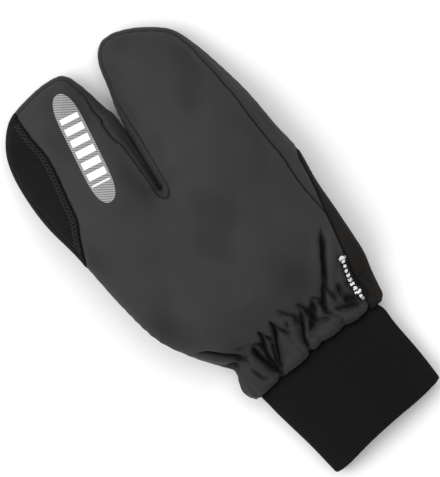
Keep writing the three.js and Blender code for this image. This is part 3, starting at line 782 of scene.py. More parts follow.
class MITT_OT_side_strip(Operator):
    """Grey strip up the little finger side, round both tips and through the gap"""

    bl_idname = "mitt.side_strip"
    bl_label = "Side strip"

    def execute(self, context):
        sizes = context.scene.mitt_sizes
        hand = hand_of(context)
        seams = hand.seam_lines()[:3] + hand.edge_lines()
        bm = bmesh.new()
        outer, inner = (edge[::-1, None] for edge in strip_edges(hand))
        share = both_ends(np.linspace(0, 1, 17), 0.5) ** 1.6
        x, y = np.moveaxis(outer + (inner - outer) * share[None, :, None], 2, 0)
        points = np.stack([x, y, hand.top(x, y)], axis=2)
        relief, near = seam_relief(sizes, points, seams, 0.1)
        across = np.linalg.norm(points - points[:, -1:, :], axis=2)
        stitched = -0.34 * bell(across - 1.9, 0.4)
        height = relief + stitched * smooth(near / 1.2) + soft_waves(x, y) * smooth(near / 8)
        height += closed_gap(hand, x, y) * (0.5 - height)
        # Painted shade in the seam grooves, and in the closed foot of the gap between the lobes
        fold = np.maximum(np.clip(-height / SHADED_DEPTH, 0, 1), gap_shade(hand, x, y, share))
        add_grid(bm, points + normals_of(points) * height[..., None], fold=fold)
        close_up(bm)
        strip = object_from(bm, "side_strip_shell", shell_cloth(context))
        thicken(strip, WALL["strip"])
        settle(strip, "shell", "side_strip", fill=0.4)
        return {"FINISHED"}


def closed_gap(hand, x, y):
    """Where the foot of the gap lies shut, at the silhouette: the two lobes press together"""
    shut = smooth((0.79 - y / hand.length) / 0.03) * smooth((y - hand.crotch_foot + 3) / 3)
    return shut * (np.abs(x) < 0.1 * hand.width) * smooth(1 - hand.inward(x, y) / 1.4)


def gap_shade(hand, x, y, share):
    """Painted shade on the strip in the closed foot of the gap, deeper on the middle finger's side, which is
    turned away
    """
    closed = smooth((0.8 - y / hand.length) / 0.07) * smooth((y - hand.crotch_foot + 6) / 6)
    turned_away = 0.72 * (1 - 0.8 * share[None]) * (x < hand.crotch_middle)
    # Painted shade at the bottom of the valley, by the silhouette
    foot = smooth(1 - share[None] / 0.3)
    in_gap = np.abs(x) < 0.1 * hand.width
    return closed * in_gap * np.maximum(turned_away, foot)


def strip_edges(hand):
    """Outer and inner edge of the strip, from the little finger side to the index tip"""
    ring = hand.ring_side[::-1]
    ring_seam = hand.ring_seam[::-1]
    palm_x = x_at(hand.palm_line, ring[:, 1])
    low = (ring[:, 1] < hand.palm_top) & (np.arange(len(ring)) < len(ring) // 2)
    outer = ring.copy()
    outer[low, 0] = np.minimum(ring[low, 0], palm_x[low])
    kept = ~(low & (outer[:, 0] <= ring_seam[:, 0] + 0.05))
    outer, ring_seam = outer[kept], ring_seam[kept]
    index, index_seam = (line[hand.strip_end :][::-1] for line in (hand.index_side, hand.index_seam))
    turn = np.linspace(0, math.pi, 19)[1:-1]
    crotch = outer[-1] + (index[0] - outer[-1]) * (turn / math.pi)[:, None]
    return np.vstack([outer, crotch, index]), np.vstack([ring_seam, hand.hollow(turn), index_seam])


class MITT_OT_index_patch(Operator):
    """Crescent suede patch on the index finger, with its zigzag stitching"""

    bl_idname = "mitt.index_patch"
    bl_label = "Index patch"

    def execute(self, context):
        sizes = context.scene.mitt_sizes
        hand = hand_of(context)
        pipe = hand.pipe_line
        y = np.linspace(hand.patch_foot, hand.length, 3000)
        foot, top = y[hand.patch_x(y) > x_at(pipe, y)][[0, -1]]
        rows = np.linspace(-math.pi / 2, math.pi / 2, 121)
        y = (foot + top) / 2 + (top - foot) / 2 * (0.35 * np.sin(rows) + 0.65 * rows / (math.pi / 2))
        left = x_at(pipe, y)
        x, net_y = net_between(left, np.maximum(hand.patch_x(y), left), y, 40, 0.6)
        points, fold = dressed_top(hand, sizes, x, net_y, hand.seam_lines()[1:2], hem=False)
        edge = hand.on_back(pipe[pipe[:, 1] > foot - 2])
        points[..., 2] += PIPE_DEPTH * seam_relief(sizes, points, [edge])[0]
        bm = bmesh.new()
        add_grid(bm, points, fold=fold)
        close_up(bm)
        patch = object_from(bm, "index_suede", suede(context))
        thicken(patch, WALL["patch"])
        settle(patch, "suede", "index_patch", fill=0.4)
        stitched = y[(y > foot + 6) & (y < top - 3)]
        seam = np.column_stack([hand.patch_x(stitched), stitched])
        for name, inset in (("zigzag_outer", 1.5), ("zigzag_inner", 3.4)):
            path = moved_right(seam, -inset)
            path = path[path[:, 0] > x_at(pipe, path[:, 1]) + 1.4]
            stitches = zigzag(resampled(path, 0.5), pitch=2.5, swing=0.85)
            settle(thread_along(context, name, stitches, patch, 0.2), "suede")
        return {"FINISHED"}


def zigzag(line, pitch, swing):
    """Corners of a zigzag along a line"""
    spots = at_lengths(line, np.arange(0, walked(line)[-1], pitch / 2))
    side = np.where(np.arange(len(spots)) % 2, swing, -swing)
    return moved_right(spots, side)


def surface_tree(piece):
    """A piece's own sheet, to let points down on"""
    bm = bmesh.new()
    bm.from_mesh(piece.data)
    tree = BVHTree.FromBMesh(bm)
    bm.free()
    return tree


def drop_on(tree, points, name):
    """Points seen from above, let down on a surface: their places and the surface's directions out"""
    places, out = [], []
    for point in place_in_row(np.column_stack([points, np.full(len(points), OVER_ALL)])):
        hit, normal, _, _ = tree.ray_cast(Vector(point), Vector((0, 0, -1)))
        if hit is None:
            raise RuntimeError(f"{name}: nothing lies under one of its points")
        places.append(hit)
        out.append(normal if normal.z > 0 else -normal)
    return places, out


def thread_along(context, name, line, piece, radius):
    """A thread sewn into a surface: it dips in at each corner and lies proud between them"""
    dense = resampled(line, 0.42)
    places, out = drop_on(surface_tree(piece), dense, name)
    from_corner = np.linalg.norm(dense[:, None] - line[None], axis=2).min(1)
    sides = 5
    bm = bmesh.new()
    rings = []
    for i, (place, normal) in enumerate(zip(places, out)):
        before, after = places[max(0, i - 1)], places[min(len(places) - 1, i + 1)]
        side = (after - before).normalized().cross(normal).normalized()
        proud = radius * (0.9 * min(1.0, from_corner[i] / 0.6) - 0.5)
        ring = []
        for k in range(sides):
            turn = 2 * math.pi * k / sides
            lifted = place + normal * (proud + radius * math.sin(turn)) / 1000
            ring.append(bm.verts.new(lifted + side * radius * math.cos(turn) / 1000))
        rings.append([bm.edges.new((ring[k], ring[(k + 1) % sides])) for k in range(sides)])
    for low, high in zip(rings, rings[1:]):
        bmesh.ops.bridge_loops(bm, edges=low + high)
    bmesh.ops.holes_fill(bm, edges=rings[0] + rings[-1], sides=sides)
    bmesh.ops.recalc_face_normals(bm, faces=bm.faces[:])
    for face in bm.faces:
        face.smooth = True
    return object_from(bm, name, thread(context))


class MITT_OT_palm_panel(Operator):
    """Suede palm, with the edges that come up round the index side and the wrist"""

    bl_idname = "mitt.palm_panel"
    bl_label = "Palm panel"

    def execute(self, context):
        sizes = context.scene.mitt_sizes
        hand = hand_of(context)
        common = levels((0, 36, 0.8), (36, hand.crotch_y, 1.5))
        bm = bmesh.new()
        for side, outline in ((-1, hand.index_side), (1, hand.ring_side)):
            tip = outline[:, 1].max()
            low = tip - 28
            y = np.concatenate([common, levels((hand.crotch_y, low, 1.5)), to_tip(low, tip, 44)])
            points, height, edge_column = palm_half(hand, sizes, side, y)
            moved = points + normals_of(points) * height[..., None]
            band = slice(edge_column, None) if side < 0 else slice(0, edge_column)
            flat_rows = np.ptp(points[:, band, 0], axis=1) < 1e-3
            moved[flat_rows, band] = moved[flat_rows, edge_column][:, None]
            # Painted shade in the palm's seam grooves, creases and gathers
            add_grid(bm, moved, fold=np.clip(-height / 2.5, 0, 1))
        close_up(bm)
        palm = object_from(bm, "palm_suede", suede(context))
        thicken(palm, WALL["palm"])
        settle(palm, "suede", "palm_panel", fill=0.4)
        return {"FINISHED"}


def palm_half(hand, sizes, side, y):
    """Net of one half of the palm with its turned up edge, and the height of its relief"""
    if side < 0:
        edge = x_at(hand.index_side[: hand.index_tip + 1], y)
        inner = x_at(hand.index_side[hand.index_tip :], y)
        turned = np.minimum(x_at(hand.pipe_line, y), hand.patch_x(y))
        turned = np.where(y < hand.patch_foot, edge, np.maximum(turned, edge))
        band_columns = 8
    else:
        edge = x_at(hand.ring_side[hand.ring_tip :], y)
        inner = x_at(hand.ring_side[: hand.ring_tip + 1], y)
        turned = np.where(y < hand.palm_top, np.minimum(x_at(hand.palm_line, y), edge), edge)
        band_columns = 18
    inner = np.where(y <= hand.crotch_y, 0.0, inner)
    under_x, under_y = net_between(edge, inner, y, 60, 0.6)
    under = np.stack([under_x, under_y, hand.bottom(under_x, under_y)], axis=2)
    share = np.linspace(1, 0, band_columns + 1)[:-1] ** 1.7
    band_x = edge[:, None] + (turned - edge)[:, None] * share[None]
    band_y = np.repeat(y[:, None], band_columns, axis=1)
    band = np.stack([band_x, band_y, hand.top(band_x, band_y)], axis=2)
    points = np.concatenate([band, under], axis=1)
    on_top = np.zeros(points.shape[:2], bool)
    on_top[:, :band_columns] = True
    edge_column = band_columns
    if side < 0:
        points, on_top = points[:, ::-1], on_top[:, ::-1]
        edge_column = under.shape[1] - 1
    lines = [*hand.seam_lines()[2:], ring_palm_edge(hand), index_palm_edge(hand)]
    relief, near = seam_relief(sizes, points, lines, 0.06)
    pipe = hand.pipe_line
    pipe = pipe[(pipe[:, 0] < hand.patch_x(pipe[:, 1])) & (pipe[:, 1] > hand.patch_foot)]
    relief += PIPE_DEPTH * seam_relief(sizes, points, [hand.on_back(pipe)])[0]
    x, net_y = points[..., 0], points[..., 1]
    gathers = np.where(on_top, gathers_above(hand, x, net_y), gathers_below(hand, x, net_y))
    gathers *= smooth(near / 1.6)
    gathers = np.where(gathers < 0, gathers * smooth(hand.inward(x, net_y) / 7), gathers)
    waves = soft_waves(x + 40, net_y) * smooth(near / 8)
    height = relief + gathers + waves + hem_rolled(net_y)
    height += closed_gap(hand, x, net_y) * (0.5 - height)
    return points, height, edge_column


def ring_palm_edge(hand):
    """Silhouette seam of the ring lobe, above the place where the palm comes up over it"""
    on_gap = np.arange(len(hand.ring_side)) < hand.ring_tip
    return hand.on_edge(hand.ring_side[on_gap | (hand.ring_side[:, 1] > PALM_LEAVES_EDGE)])


def index_palm_edge(hand):
    """Silhouette seam of the index lobe, past the tip"""
    start = tip_start(hand.index_side, hand.index_tip, hand.patch_x(hand.length))
    return hand.on_edge(hand.index_side[start:])


class MITT_OT_thumb(Operator):
    """The thumb, folded flat under the palm: suede above and shell cloth below"""

    bl_idname = "mitt.thumb"
    bl_label = "Thumb"

    def execute(self, context):
        sizes = context.scene.mitt_sizes
        length = millimetres(sizes.thumb_length)
        half = millimetres(sizes.thumb_width) / 2
        depth = millimetres(sizes.thumb_depth)
        outline = spline_through([(share * half, along * length) for along, share in THUMB_OUTLINE])
        closed = np.vstack([outline, outline[::-1] * np.array([-1, 1])])
        y = (1 - np.cos(np.linspace(0, math.pi, 96))) / 2 * length
        reach = x_at(outline, y)
        x, net_y = net_between(-reach, reach, y, 48, 0.6)
        inward = nearest_on(closed, np.stack([x.ravel(), net_y.ravel()], axis=1))[0].reshape(x.shape)
        rise = (depth / 2) * round_over(inward / (0.55 * depth))
        wrinkle = 0.5 * np.sin(net_y / 5.5 + 0.8 * np.sin(x / 7)) * smooth((30 - np.abs(net_y - 52)) / 20)
        groove = -0.9 * bell(np.hypot(inward, rise), 0.8, 1.7)
        for name, slot, cad_node, material, way in (
            ("thumb_suede", "suede", "thumb_front", suede(context), 1),
            ("thumb_shell", "shell", "thumb_back", shell_cloth(context), -1),
        ):
            points = np.stack([x, net_y, depth / 2 + way * rise], axis=2)[:, ::way]
            height = (groove + 0.35 * wrinkle * smooth(inward / 6) * (way > 0))[:, ::way]
            points = points + normals_of(points) * height[..., None]
            points[..., 2] = np.clip(points[..., 2], 0.02, depth)
            bm = bmesh.new()
            add_grid(bm, turned_under_palm(points, sizes))
            close_up(bm)
            panel = object_from(bm, name, material)
            thicken(panel, WALL["thumb"])
            settle(panel, slot, cad_node, fill=0.4)
        return {"FINISHED"}


def turned_under_palm(points, sizes):
    """From the thumb's own plan to its place under the palm"""
    turn = math.radians(-24)
    base = (-0.15 * millimetres(sizes.hand_width), 0.205 * millimetres(sizes.hand_length))
    x = points[..., 0] * math.cos(turn) - points[..., 1] * math.sin(turn) + base[0]
    y = points[..., 0] * math.sin(turn) + points[..., 1] * math.cos(turn) + base[1]
    return np.stack([x, y, points[..., 2]], axis=-1)


class MITT_OT_rib_cuff(Operator):
    """Ribbed knit cuff: a folded tube, sewn up inside the wrist"""

    bl_idname = "mitt.rib_cuff"
    bl_label = "Rib cuff"

    def execute(self, context):
        sizes = context.scene.mitt_sizes
        hand = hand_of(context)
        wall = millimetres(sizes.cuff_wall)
        length, tuck = millimetres(sizes.cuff_length), millimetres(sizes.cuff_tuck)
        mouth = -length + wall / 2
        left_edge = INDEX_OUTLINE[0][0] * hand.width + CUFF_FIT
        opening = RING_OUTLINE[-1][0] * hand.width - CUFF_FIT - left_edge
        around = 2 * (opening + millimetres(sizes.cuff_depth))
        ribs = int(round(around / millimetres(sizes.rib_pitch)))
        share = np.linspace(0, 1, 6 * ribs + 1)
        turn = even_turns(share, opening / 2, millimetres(sizes.cuff_depth) / 2)
        outside = np.concatenate([np.linspace(tuck, -6, 16), np.linspace(-7.6, mouth, 38)])
        inside = np.concatenate([np.linspace(mouth, -length + 12, 6), np.linspace(-length + 16, tuck, 9)])
        fold = np.linspace(0, math.pi, 9)[1:-1]
        y = np.concatenate([outside, mouth - wall / 2 * np.sin(fold), inside])
        turned_in = wall / 2 * (1 - np.cos(fold))
        inset = np.concatenate([np.zeros_like(outside), turned_in, np.full_like(inside, wall)])
        rounds = []
        for height, inward in zip(y, inset):
            rounds.append(cuff_round(hand, sizes, turn, share * ribs, height, inward, left_edge, opening))
        points = np.array(rounds)
        uv = np.dstack(np.broadcast_arrays((share * ribs)[None], walked(points[:, 0])[:, None] / 1000))
        # Painted shadow of the shell's hem on the knit just below it
        below_hem = hem_strayed(points[..., 0], np.zeros(points.shape[:2])) - points[..., 1]
        hem_shade = 0.9 * bell(np.maximum(below_hem, 0), 2.4, 1.5)
        bm = bmesh.new()
        add_grid(bm, points[::-1], uv=uv[::-1], fold=hem_shade[::-1])
        close_up(bm, 1e-5)
        bmesh.ops.bridge_loops(bm, edges=[edge for edge in bm.edges if edge.is_boundary])
        cuff = object_from(bm, "rib_knit_cuff", rib_knit(context))
        settle(cuff, "knit", "rib_cuff")
        return {"FINISHED"}


def even_turns(share, half_width, half_height):
    """Angles that step evenly round a squarish oval"""
    turn = np.linspace(0, 2 * math.pi, 2001)
    across, rise = oval(turn)
    length = walked(np.stack([half_width * across, half_height * rise], axis=1))
    return np.interp(share * length[-1], length, turn)


def oval(turn):
    """A squarish oval, flatter below than above: shares of its half width and half height"""
    power = np.where(np.sin(turn) < 0, 3.0, 2.4)
    return [np.sign(part) * np.abs(part) ** (2 / power) for part in (np.cos(turn), np.sin(turn))]


def cuff_round(hand, sizes, turn, rib, y, inward, left_edge, opening):
    """One round of the cuff at a height along the arm"""
    reached = np.clip(-y / millimetres(sizes.cuff_length), 0, 1)
    left = left_edge + opening * (0.005 + 0.113 * reached)
    right = left_edge + opening * (0.99 + 0.04 * reached + 0.007 * smooth(reached / 0.15) * (1 - reached))
    inside = 1 - reached
    low = CUFF_FIT * inside
    wrist_top = HAND_DEPTH[0][1] * hand.depth_full - CUFF_FIT
    high = wrist_top * inside + millimetres(sizes.cuff_depth) * reached
    side = low + (high - low) * SEAM_SHARE
    relief = millimetres(sizes.rib_relief)
    rib_height = relief * np.sqrt(np.abs(np.sin(math.pi * rib))) - relief
    if inward > 0.9 * millimetres(sizes.cuff_wall):
        rib_height = -rib_height * 0.6 - relief * 0.4
    pinched = 0.55 * bell(y + 3, 7) * np.sin(turn * 11 + 0.7 * np.sin(turn * 3)) - 1.1 * bell(y - 1, 3)
    sag = 0.35 * np.sin(turn * 5 + y / 9) * smooth(reached * 4)
    grow = rib_height + pinched + sag - inward
    across, rise = oval(turn)
    half_height = np.where(rise < 0, side - low, high - side) + grow
    slant = millimetres(sizes.cuff_slant) / 2 * reached
    mouth_wave = 0.5 * np.sin(turn * 4 + 1) * smooth((reached - 0.8) / 0.2)
    x = (left + right) / 2 + ((right - left) / 2 + grow) * across
    z = np.maximum(side + half_height * rise, 0.05 + 0.6 * inward)
    return np.stack([x, y + slant * across + mouth_wave, z], axis=1)


class MITT_OT_side_tag(Operator):
    """Small folded woven tag in the seam at the wrist"""

    bl_idname = "mitt.side_tag"
    bl_label = "Side tag"

    def execute(self, context):
        trees = [surface_tree(bpy.data.objects[name]) for name in ("back_shell", "palm_suede")]
        share = np.linspace(0, 1, 49)
        across = np.linspace(0, 1, 13)
        doubled = 1 - np.abs(1 - 2 * share)
        edges = (spline_through(edge, 12) for edge in (TAG_LEFT, TAG_RIGHT))
        left, right = (at_lengths(edge, doubled * walked(edge)[-1])[:, None] for edge in edges)
        plan = left + (right - left) * across[None, :, None]
        raised = 0.55 * (share < 0.5)[:, None] + (0.3 + 0.9 * doubled)[:, None] * across[None]
        uv = np.dstack(np.broadcast_arrays(across[None], 2 * share[:, None]))
        spots = place_in_row(np.dstack([plan, np.full(raised.shape, OVER_ALL)]))
        heights = np.array([[highest_under(spot, trees) for spot in row] for row in spots])
        points = np.dstack([plan, evened(heights + raised, 6) + 0.9])
        bm = bmesh.new()
        add_grid(bm, points, uv=uv)
        close_up(bm)
        bmesh.ops.recalc_face_normals(bm, faces=bm.faces[:])
        tag = object_from(bm, "woven_tag", woven_tape(context))
        thicken(tag, WALL["tag"])
        settle(tag, "label", "side_tag")
        return {"FINISHED"}


def highest_under(spot, trees):
    """Height of the uppermost surface under a spot"""
    hits = [tree.ray_cast(Vector(spot), Vector((0, 0, -1)))[0] for tree in trees]
    return millimetres(max(hit.z for hit in hits if hit is not None))


class MITT_OT_reflective_transfer(Operator):
    """Plain hatched reflective transfer on the index and middle finger lobe"""

    bl_idname = "mitt.reflective_transfer"
    bl_label = "Reflective transfer"

    def execute(self, context):
        foot, head = np.array(TRANSFER_FOOT), np.array(TRANSFER_HEAD)
        length = np.linalg.norm(head - foot)
        way = (head - foot) / length
        share = np.linspace(0, 1, 121)[:, None]
        half = TRANSFER_HALF_WIDTH * np.sqrt(np.maximum(0, 1 - np.abs(2 * share - 1) ** 5))
        across = np.linspace(-1, 1, 23)[None] * half
        along = np.broadcast_to(share * length, across.shape)
        points = foot + along[..., None] * way + across[..., None] * np.array([way[1], -way[0]])
        shell = surface_tree(bpy.data.objects["back_shell"])
        places, out = drop_on(shell, points.reshape(-1, 2), "reflective transfer")
        lifted = np.array([place + normal * 0.00014 for place, normal in zip(places, out)])
        lifted = millimetres(lifted - place_in_row(np.zeros(3)))
        bm = bmesh.new()
        add_grid(bm, lifted.reshape(*across.shape, 3), uv=np.dstack([across, along]) / 1000)
        close_up(bm, 1e-6)
        transfer = object_from(bm, "reflective_transfer", reflective_film(context))
        settle(transfer, "label")
        return {"FINISHED"}


def set_inputs(tree, made, inputs):
    """Constants and links into a node's sockets"""
    for name, value in inputs.items():
        socket = made.inputs[name]
        if isinstance(value, bpy.types.NodeSocket):
            tree.links.new(value, socket)
        else:
            socket.default_value = value


def node(tree, kind, inputs=None, **settings):
    """A node with its settings, constants and links"""
    made = tree.nodes.new(kind)
    for name, value in settings.items():
        setattr(made, name, value)
    set_inputs(tree, made, inputs or {})
    return made


def calculate(tree, operation, first, second=0.0, third=0.0, clamp=False):
    """Result of a math node"""
    made = node(tree, "ShaderNodeMath", {0: first, 1: second, 2: third}, operation=operation, use_clamp=clamp)
    return made.outputs[0]


def product(tree, first, second):
    return calculate(tree, "MULTIPLY", first, second)


def apart(tree, value, middle):
    """How far a value lies from a middle"""
    return calculate(tree, "ABSOLUTE", calculate(tree, "SUBTRACT", value, middle))


def near_to(tree, value, middle, reach):
    """One where a value lies within reach of a middle, else nought"""
    return calculate(tree, "LESS_THAN", apart(tree, value, middle), reach)


def half_waves(tree, value):
    """A sine that crosses nought at every whole number"""
    return calculate(tree, "SINE", product(tree, value, math.pi))


def noise(tree, vector, scale, detail, **more):
    inputs = {"Vector": vector, "Scale": scale, "Detail": detail, **more}
    return node(tree, "ShaderNodeTexNoise", inputs).outputs["Fac"]


def on_cloth(tree):
    """Lengths along the cloth, or ribs and length on the cuff"""
    return node(tree, "ShaderNodeUVMap", uv_map="UVMap").outputs["UV"]


def in_space(tree):
    return node(tree, "ShaderNodeTexCoord").outputs["Object"]


def painted_shade_of(tree):
    """Painted shade of folds, seams, gaps and the hem, as the mesh carries it"""
    return node(tree, "ShaderNodeAttribute", attribute_name="fold").outputs["Fac"]


def parted(tree, vector):
    """First and second part of a vector"""
    parts = node(tree, "ShaderNodeSeparateXYZ", {0: vector})
    return parts.outputs[0], parts.outputs[1]


def bumps(tree, shader, *layers):
    """Relief on a shader: height, strength and distance in metres of each layer, the widest first"""
    below = {}
    for height, strength, distance in layers:
        inputs = {"Height": height, "Strength": strength, "Distance": distance, **below}
        below = {"Normal": node(tree, "ShaderNodeBump", inputs).outputs["Normal"]}
    set_inputs(tree, shader, below)


def mixed(tree, share, low, high):
    inputs = {"Factor": share, MIX_LOW: low, MIX_HIGH: high}
    return node(tree, "ShaderNodeMix", inputs, data_type="RGBA").outputs[MIX_RESULT]


def tinted(base, share):
    return tuple(share * value for value in base)


def effect(name, inputs, outputs):
    """A new node group with its sockets, and its input and output nodes"""
    group = bpy.data.node_groups.new(name, "ShaderNodeTree")
    group.interface.new_socket("Vector", in_out="INPUT", socket_type="NodeSocketVector")
    for label, value in inputs.items():
        socket = group.interface.new_socket(label, in_out="INPUT", socket_type="NodeSocketFloat")
        socket.default_value = value
    for label in outputs:
        group.interface.new_socket(label, in_out="OUTPUT", socket_type="NodeSocketFloat")
    return group, group.nodes.new("NodeGroupInput"), group.nodes.new("NodeGroupOutput")


def placed_effect(tree, group, **inputs):
    return node(tree, "ShaderNodeGroup", inputs, node_tree=group)


def plain_weave():
    """Threads over and under each other, on lengths along the cloth"""
    if "plain_weave" in bpy.data.node_groups:
        return bpy.data.node_groups["plain_weave"]
    group, come, go = effect("plain_weave", {"Threads": 2200.0}, ("Height", "Gaps"))
    warp, weft = parted(group, come.outputs["Vector"])
    warp_wave = half_waves(group, product(group, warp, come.outputs["Threads"]))
    weft_wave = half_waves(group, product(group, weft, come.outputs["Threads"]))
    over = calculate(group, "MULTIPLY_ADD", product(group, warp_wave, weft_wave), 0.5, 0.5)
    under = calculate(group, "SUBTRACT", 1.0, over)
    warp_round = product(group, calculate(group, "ABSOLUTE", warp_wave), over)
    weft_round = product(group, calculate(group, "ABSOLUTE", weft_wave), under)
    height = calculate(group, "ADD", warp_round, weft_round)
    gaps = calculate(group, "SUBTRACT", 1.0, height, clamp=True)
    set_inputs(group, go, {"Height": height, "Gaps": gaps})
    return group


def uneven_dye():
    """Slow changes of tone and small flecks over the cloth"""
    if "uneven_dye" in bpy.data.node_groups:
        return bpy.data.node_groups["uneven_dye"]
    group, come, go = effect("uneven_dye", {"Patches": 22.0, "Flecks": 900.0}, ("Tone", "Fleck"))
    slow = noise(group, come.outputs["Vector"], come.outputs["Patches"], 3.0, Roughness=0.55)
    fast = noise(group, come.outputs["Vector"], come.outputs["Flecks"], 2.0, Roughness=0.6)
    set_inputs(group, go, {"Tone": slow, "Fleck": fast})
    return group


def short_nap():
    """Nap that lies this way and that in soft patches"""
    if "short_nap" in bpy.data.node_groups:
        return bpy.data.node_groups["short_nap"]
    group, come, go = effect("short_nap", {"Fibres": 2600.0}, ("Height", "Brushed"))
    fibre = noise(group, come.outputs["Vector"], come.outputs["Fibres"], 3.0, Roughness=0.7)
    brushed = noise(group, come.outputs["Vector"], 46.0, 4.0, Roughness=0.62, Distortion=0.6)
    set_inputs(group, go, {"Height": fibre, "Brushed": brushed})
    return group


def new_material(name):
    material = bpy.data.materials.new(name)
    material.use_nodes = True
    tree = material.node_tree
    return material, tree, tree.nodes["Principled BSDF"]


def finish_colour(tree, shader, low, high, share, darken=None):
    """Base colour between two tones, mixed towards black where darkened: painted shade of folds and seams,
    and the weave's gaps
    """
    tone = mixed(tree, share, (*low, 1.0), (*high, 1.0))
    if darken is not None:
        tone = mixed(tree, darken, tone, (0.002, 0.002, 0.002, 1.0))
    set_inputs(tree, shader, {"Base Color": tone})


def surface(tree, shader, roughness, specular, sheen=None, sheen_roughness=None):
    """How a cloth gives the light back"""
    set_inputs(tree, shader, {"Roughness": roughness, "Specular IOR Level": specular})
    if sheen is not None:
        set_inputs(tree, shader, {"Sheen Weight": sheen, "Sheen Roughness": sheen_roughness})


def shell_cloth(context):
    """Dark grey woven shell, matt, with a faint bloom, and painted shade in its folds, seams and gaps"""
    if "shell_cloth" in bpy.data.materials:
        return bpy.data.materials["shell_cloth"]
    base = context.scene.mitt_colours.shell
    material, tree, shader = new_material("shell_cloth")
    place = in_space(tree)
    weave = placed_effect(tree, plain_weave(), Vector=on_cloth(tree), Threads=2300.0)
    dye = placed_effect(tree, uneven_dye(), Vector=place, Patches=24.0, Flecks=1100.0)
    tone = calculate(tree, "MULTIPLY_ADD", dye.outputs["Tone"], 1.9, -0.45, clamp=True)
    fleck = calculate(tree, "MULTIPLY_ADD", dye.outputs["Fleck"], 0.5, 0.75)
    share = calculate(tree, "MULTIPLY", tone, fleck, clamp=True)
    gaps = product(tree, weave.outputs["Gaps"], 0.22)
    # Painted shade from the mesh's folds, seams and gaps, with the weave's own gaps
    darken = calculate(tree, "MULTIPLY_ADD", painted_shade_of(tree), 0.88, gaps, clamp=True)
    finish_colour(tree, shader, tinted(base, 0.84), tinted(base, 1.16), share, darken)
    rough = calculate(tree, "MULTIPLY_ADD", dye.outputs["Tone"], 0.16, 0.58)
    surface(tree, shader, rough, 0.2, 0.04, 0.4)
    creased = noise(tree, place, 95.0, 4.0, Roughness=0.6, Distortion=0.3)
    bumps(tree, shader, (creased, 0.25, 0.0006), (weave.outputs["Height"], 0.45, 0.00012))
    return material


def suede(context):
    """Black synthetic suede with a short brushed nap; painted sheen makes it browner to the little finger
    side, and painted shade darkens its folds
    """
    if "brushed_suede" in bpy.data.materials:
        return bpy.data.materials["brushed_suede"]
    colours = context.scene.mitt_colours
    material, tree, shader = new_material("brushed_suede")
    place = in_space(tree)
    nap = placed_effect(tree, short_nap(), Vector=place, Fibres=2400.0)
    # Painted sheen, browner towards the little finger side
    across = calculate(tree, "MULTIPLY_ADD", parted(tree, place)[0], 26.0, -0.65, clamp=True)
    brushed = calculate(tree, "MULTIPLY_ADD", nap.outputs["Brushed"], 1.7, -0.5, clamp=True)
    # Share of the painted sheen, with the nap's own brushed patches
    nap_sheen_share = calculate(tree, "MULTIPLY_ADD", across, 0.75, product(tree, brushed, 0.35), clamp=True)
    # Painted shade in the folds and seam grooves
    darken = calculate(tree, "MULTIPLY", painted_shade_of(tree), 0.6, clamp=True)
    finish_colour(tree, shader, colours.suede, colours.suede_nap_and_sheen, nap_sheen_share, darken)
    rough = calculate(tree, "MULTIPLY_ADD", nap.outputs["Brushed"], 0.12, 0.84)
    surface(tree, shader, rough, 0.05, 0.03, 0.5)
    bumps(tree, shader, (nap.outputs["Brushed"], 0.3, 0.0008), (nap.outputs["Height"], 0.7, 0.00025))
    return material


def rib_knit(context):
    """Black rib knit: V stitches up each rib, with painted highlights on the rib tops and painted shade
    between the ribs and under the hem
    """
    if "rib_knit" in bpy.data.materials:
        return bpy.data.materials["rib_knit"]
    base = context.scene.mitt_colours.knit
    material, tree, shader = new_material("rib_knit")
    ribs, along = parted(tree, on_cloth(tree))
    in_rib = calculate(tree, "FRACT", ribs)
    rise = calculate(tree, "MULTIPLY_ADD", apart(tree, in_rib, 0.5), 1.1, product(tree, along, 830.0))
    stitch = calculate(tree, "ABSOLUTE", half_waves(tree, rise))
    rib_top = half_waves(tree, in_rib)
    dye = placed_effect(tree, uneven_dye(), Vector=in_space(tree), Patches=30.0, Flecks=1500.0)
    # Painted highlight on the rib tops and the crests of the stitches
    lit = product(tree, product(tree, stitch, rib_top), 0.5)
    share = calculate(tree, "MULTIPLY_ADD", dye.outputs["Tone"], 0.5, lit, clamp=True)
    # Painted shade in the valleys between ribs, and painted shadow under the shell's hem
    rib_valley_shade = calculate(tree, "MULTIPLY", calculate(tree, "SUBTRACT", 1.0, rib_top), 0.85, clamp=True)
    darken = calculate(tree, "MAXIMUM", rib_valley_shade, painted_shade_of(tree))
    # Between a darker and a lighter copy of the knit, by random tone and the painted highlight
    finish_colour(tree, shader, tinted(base, 0.72), tinted(base, 1.45), share, darken)
    rough = calculate(tree, "MULTIPLY_ADD", dye.outputs["Fleck"], 0.1, 0.82)
    surface(tree, shader, rough, 0.08, 0.03, 0.5)
    bumps(tree, shader, (dye.outputs["Fleck"], 0.4, 0.0002), (stitch, 0.6, 0.00025))
    return material


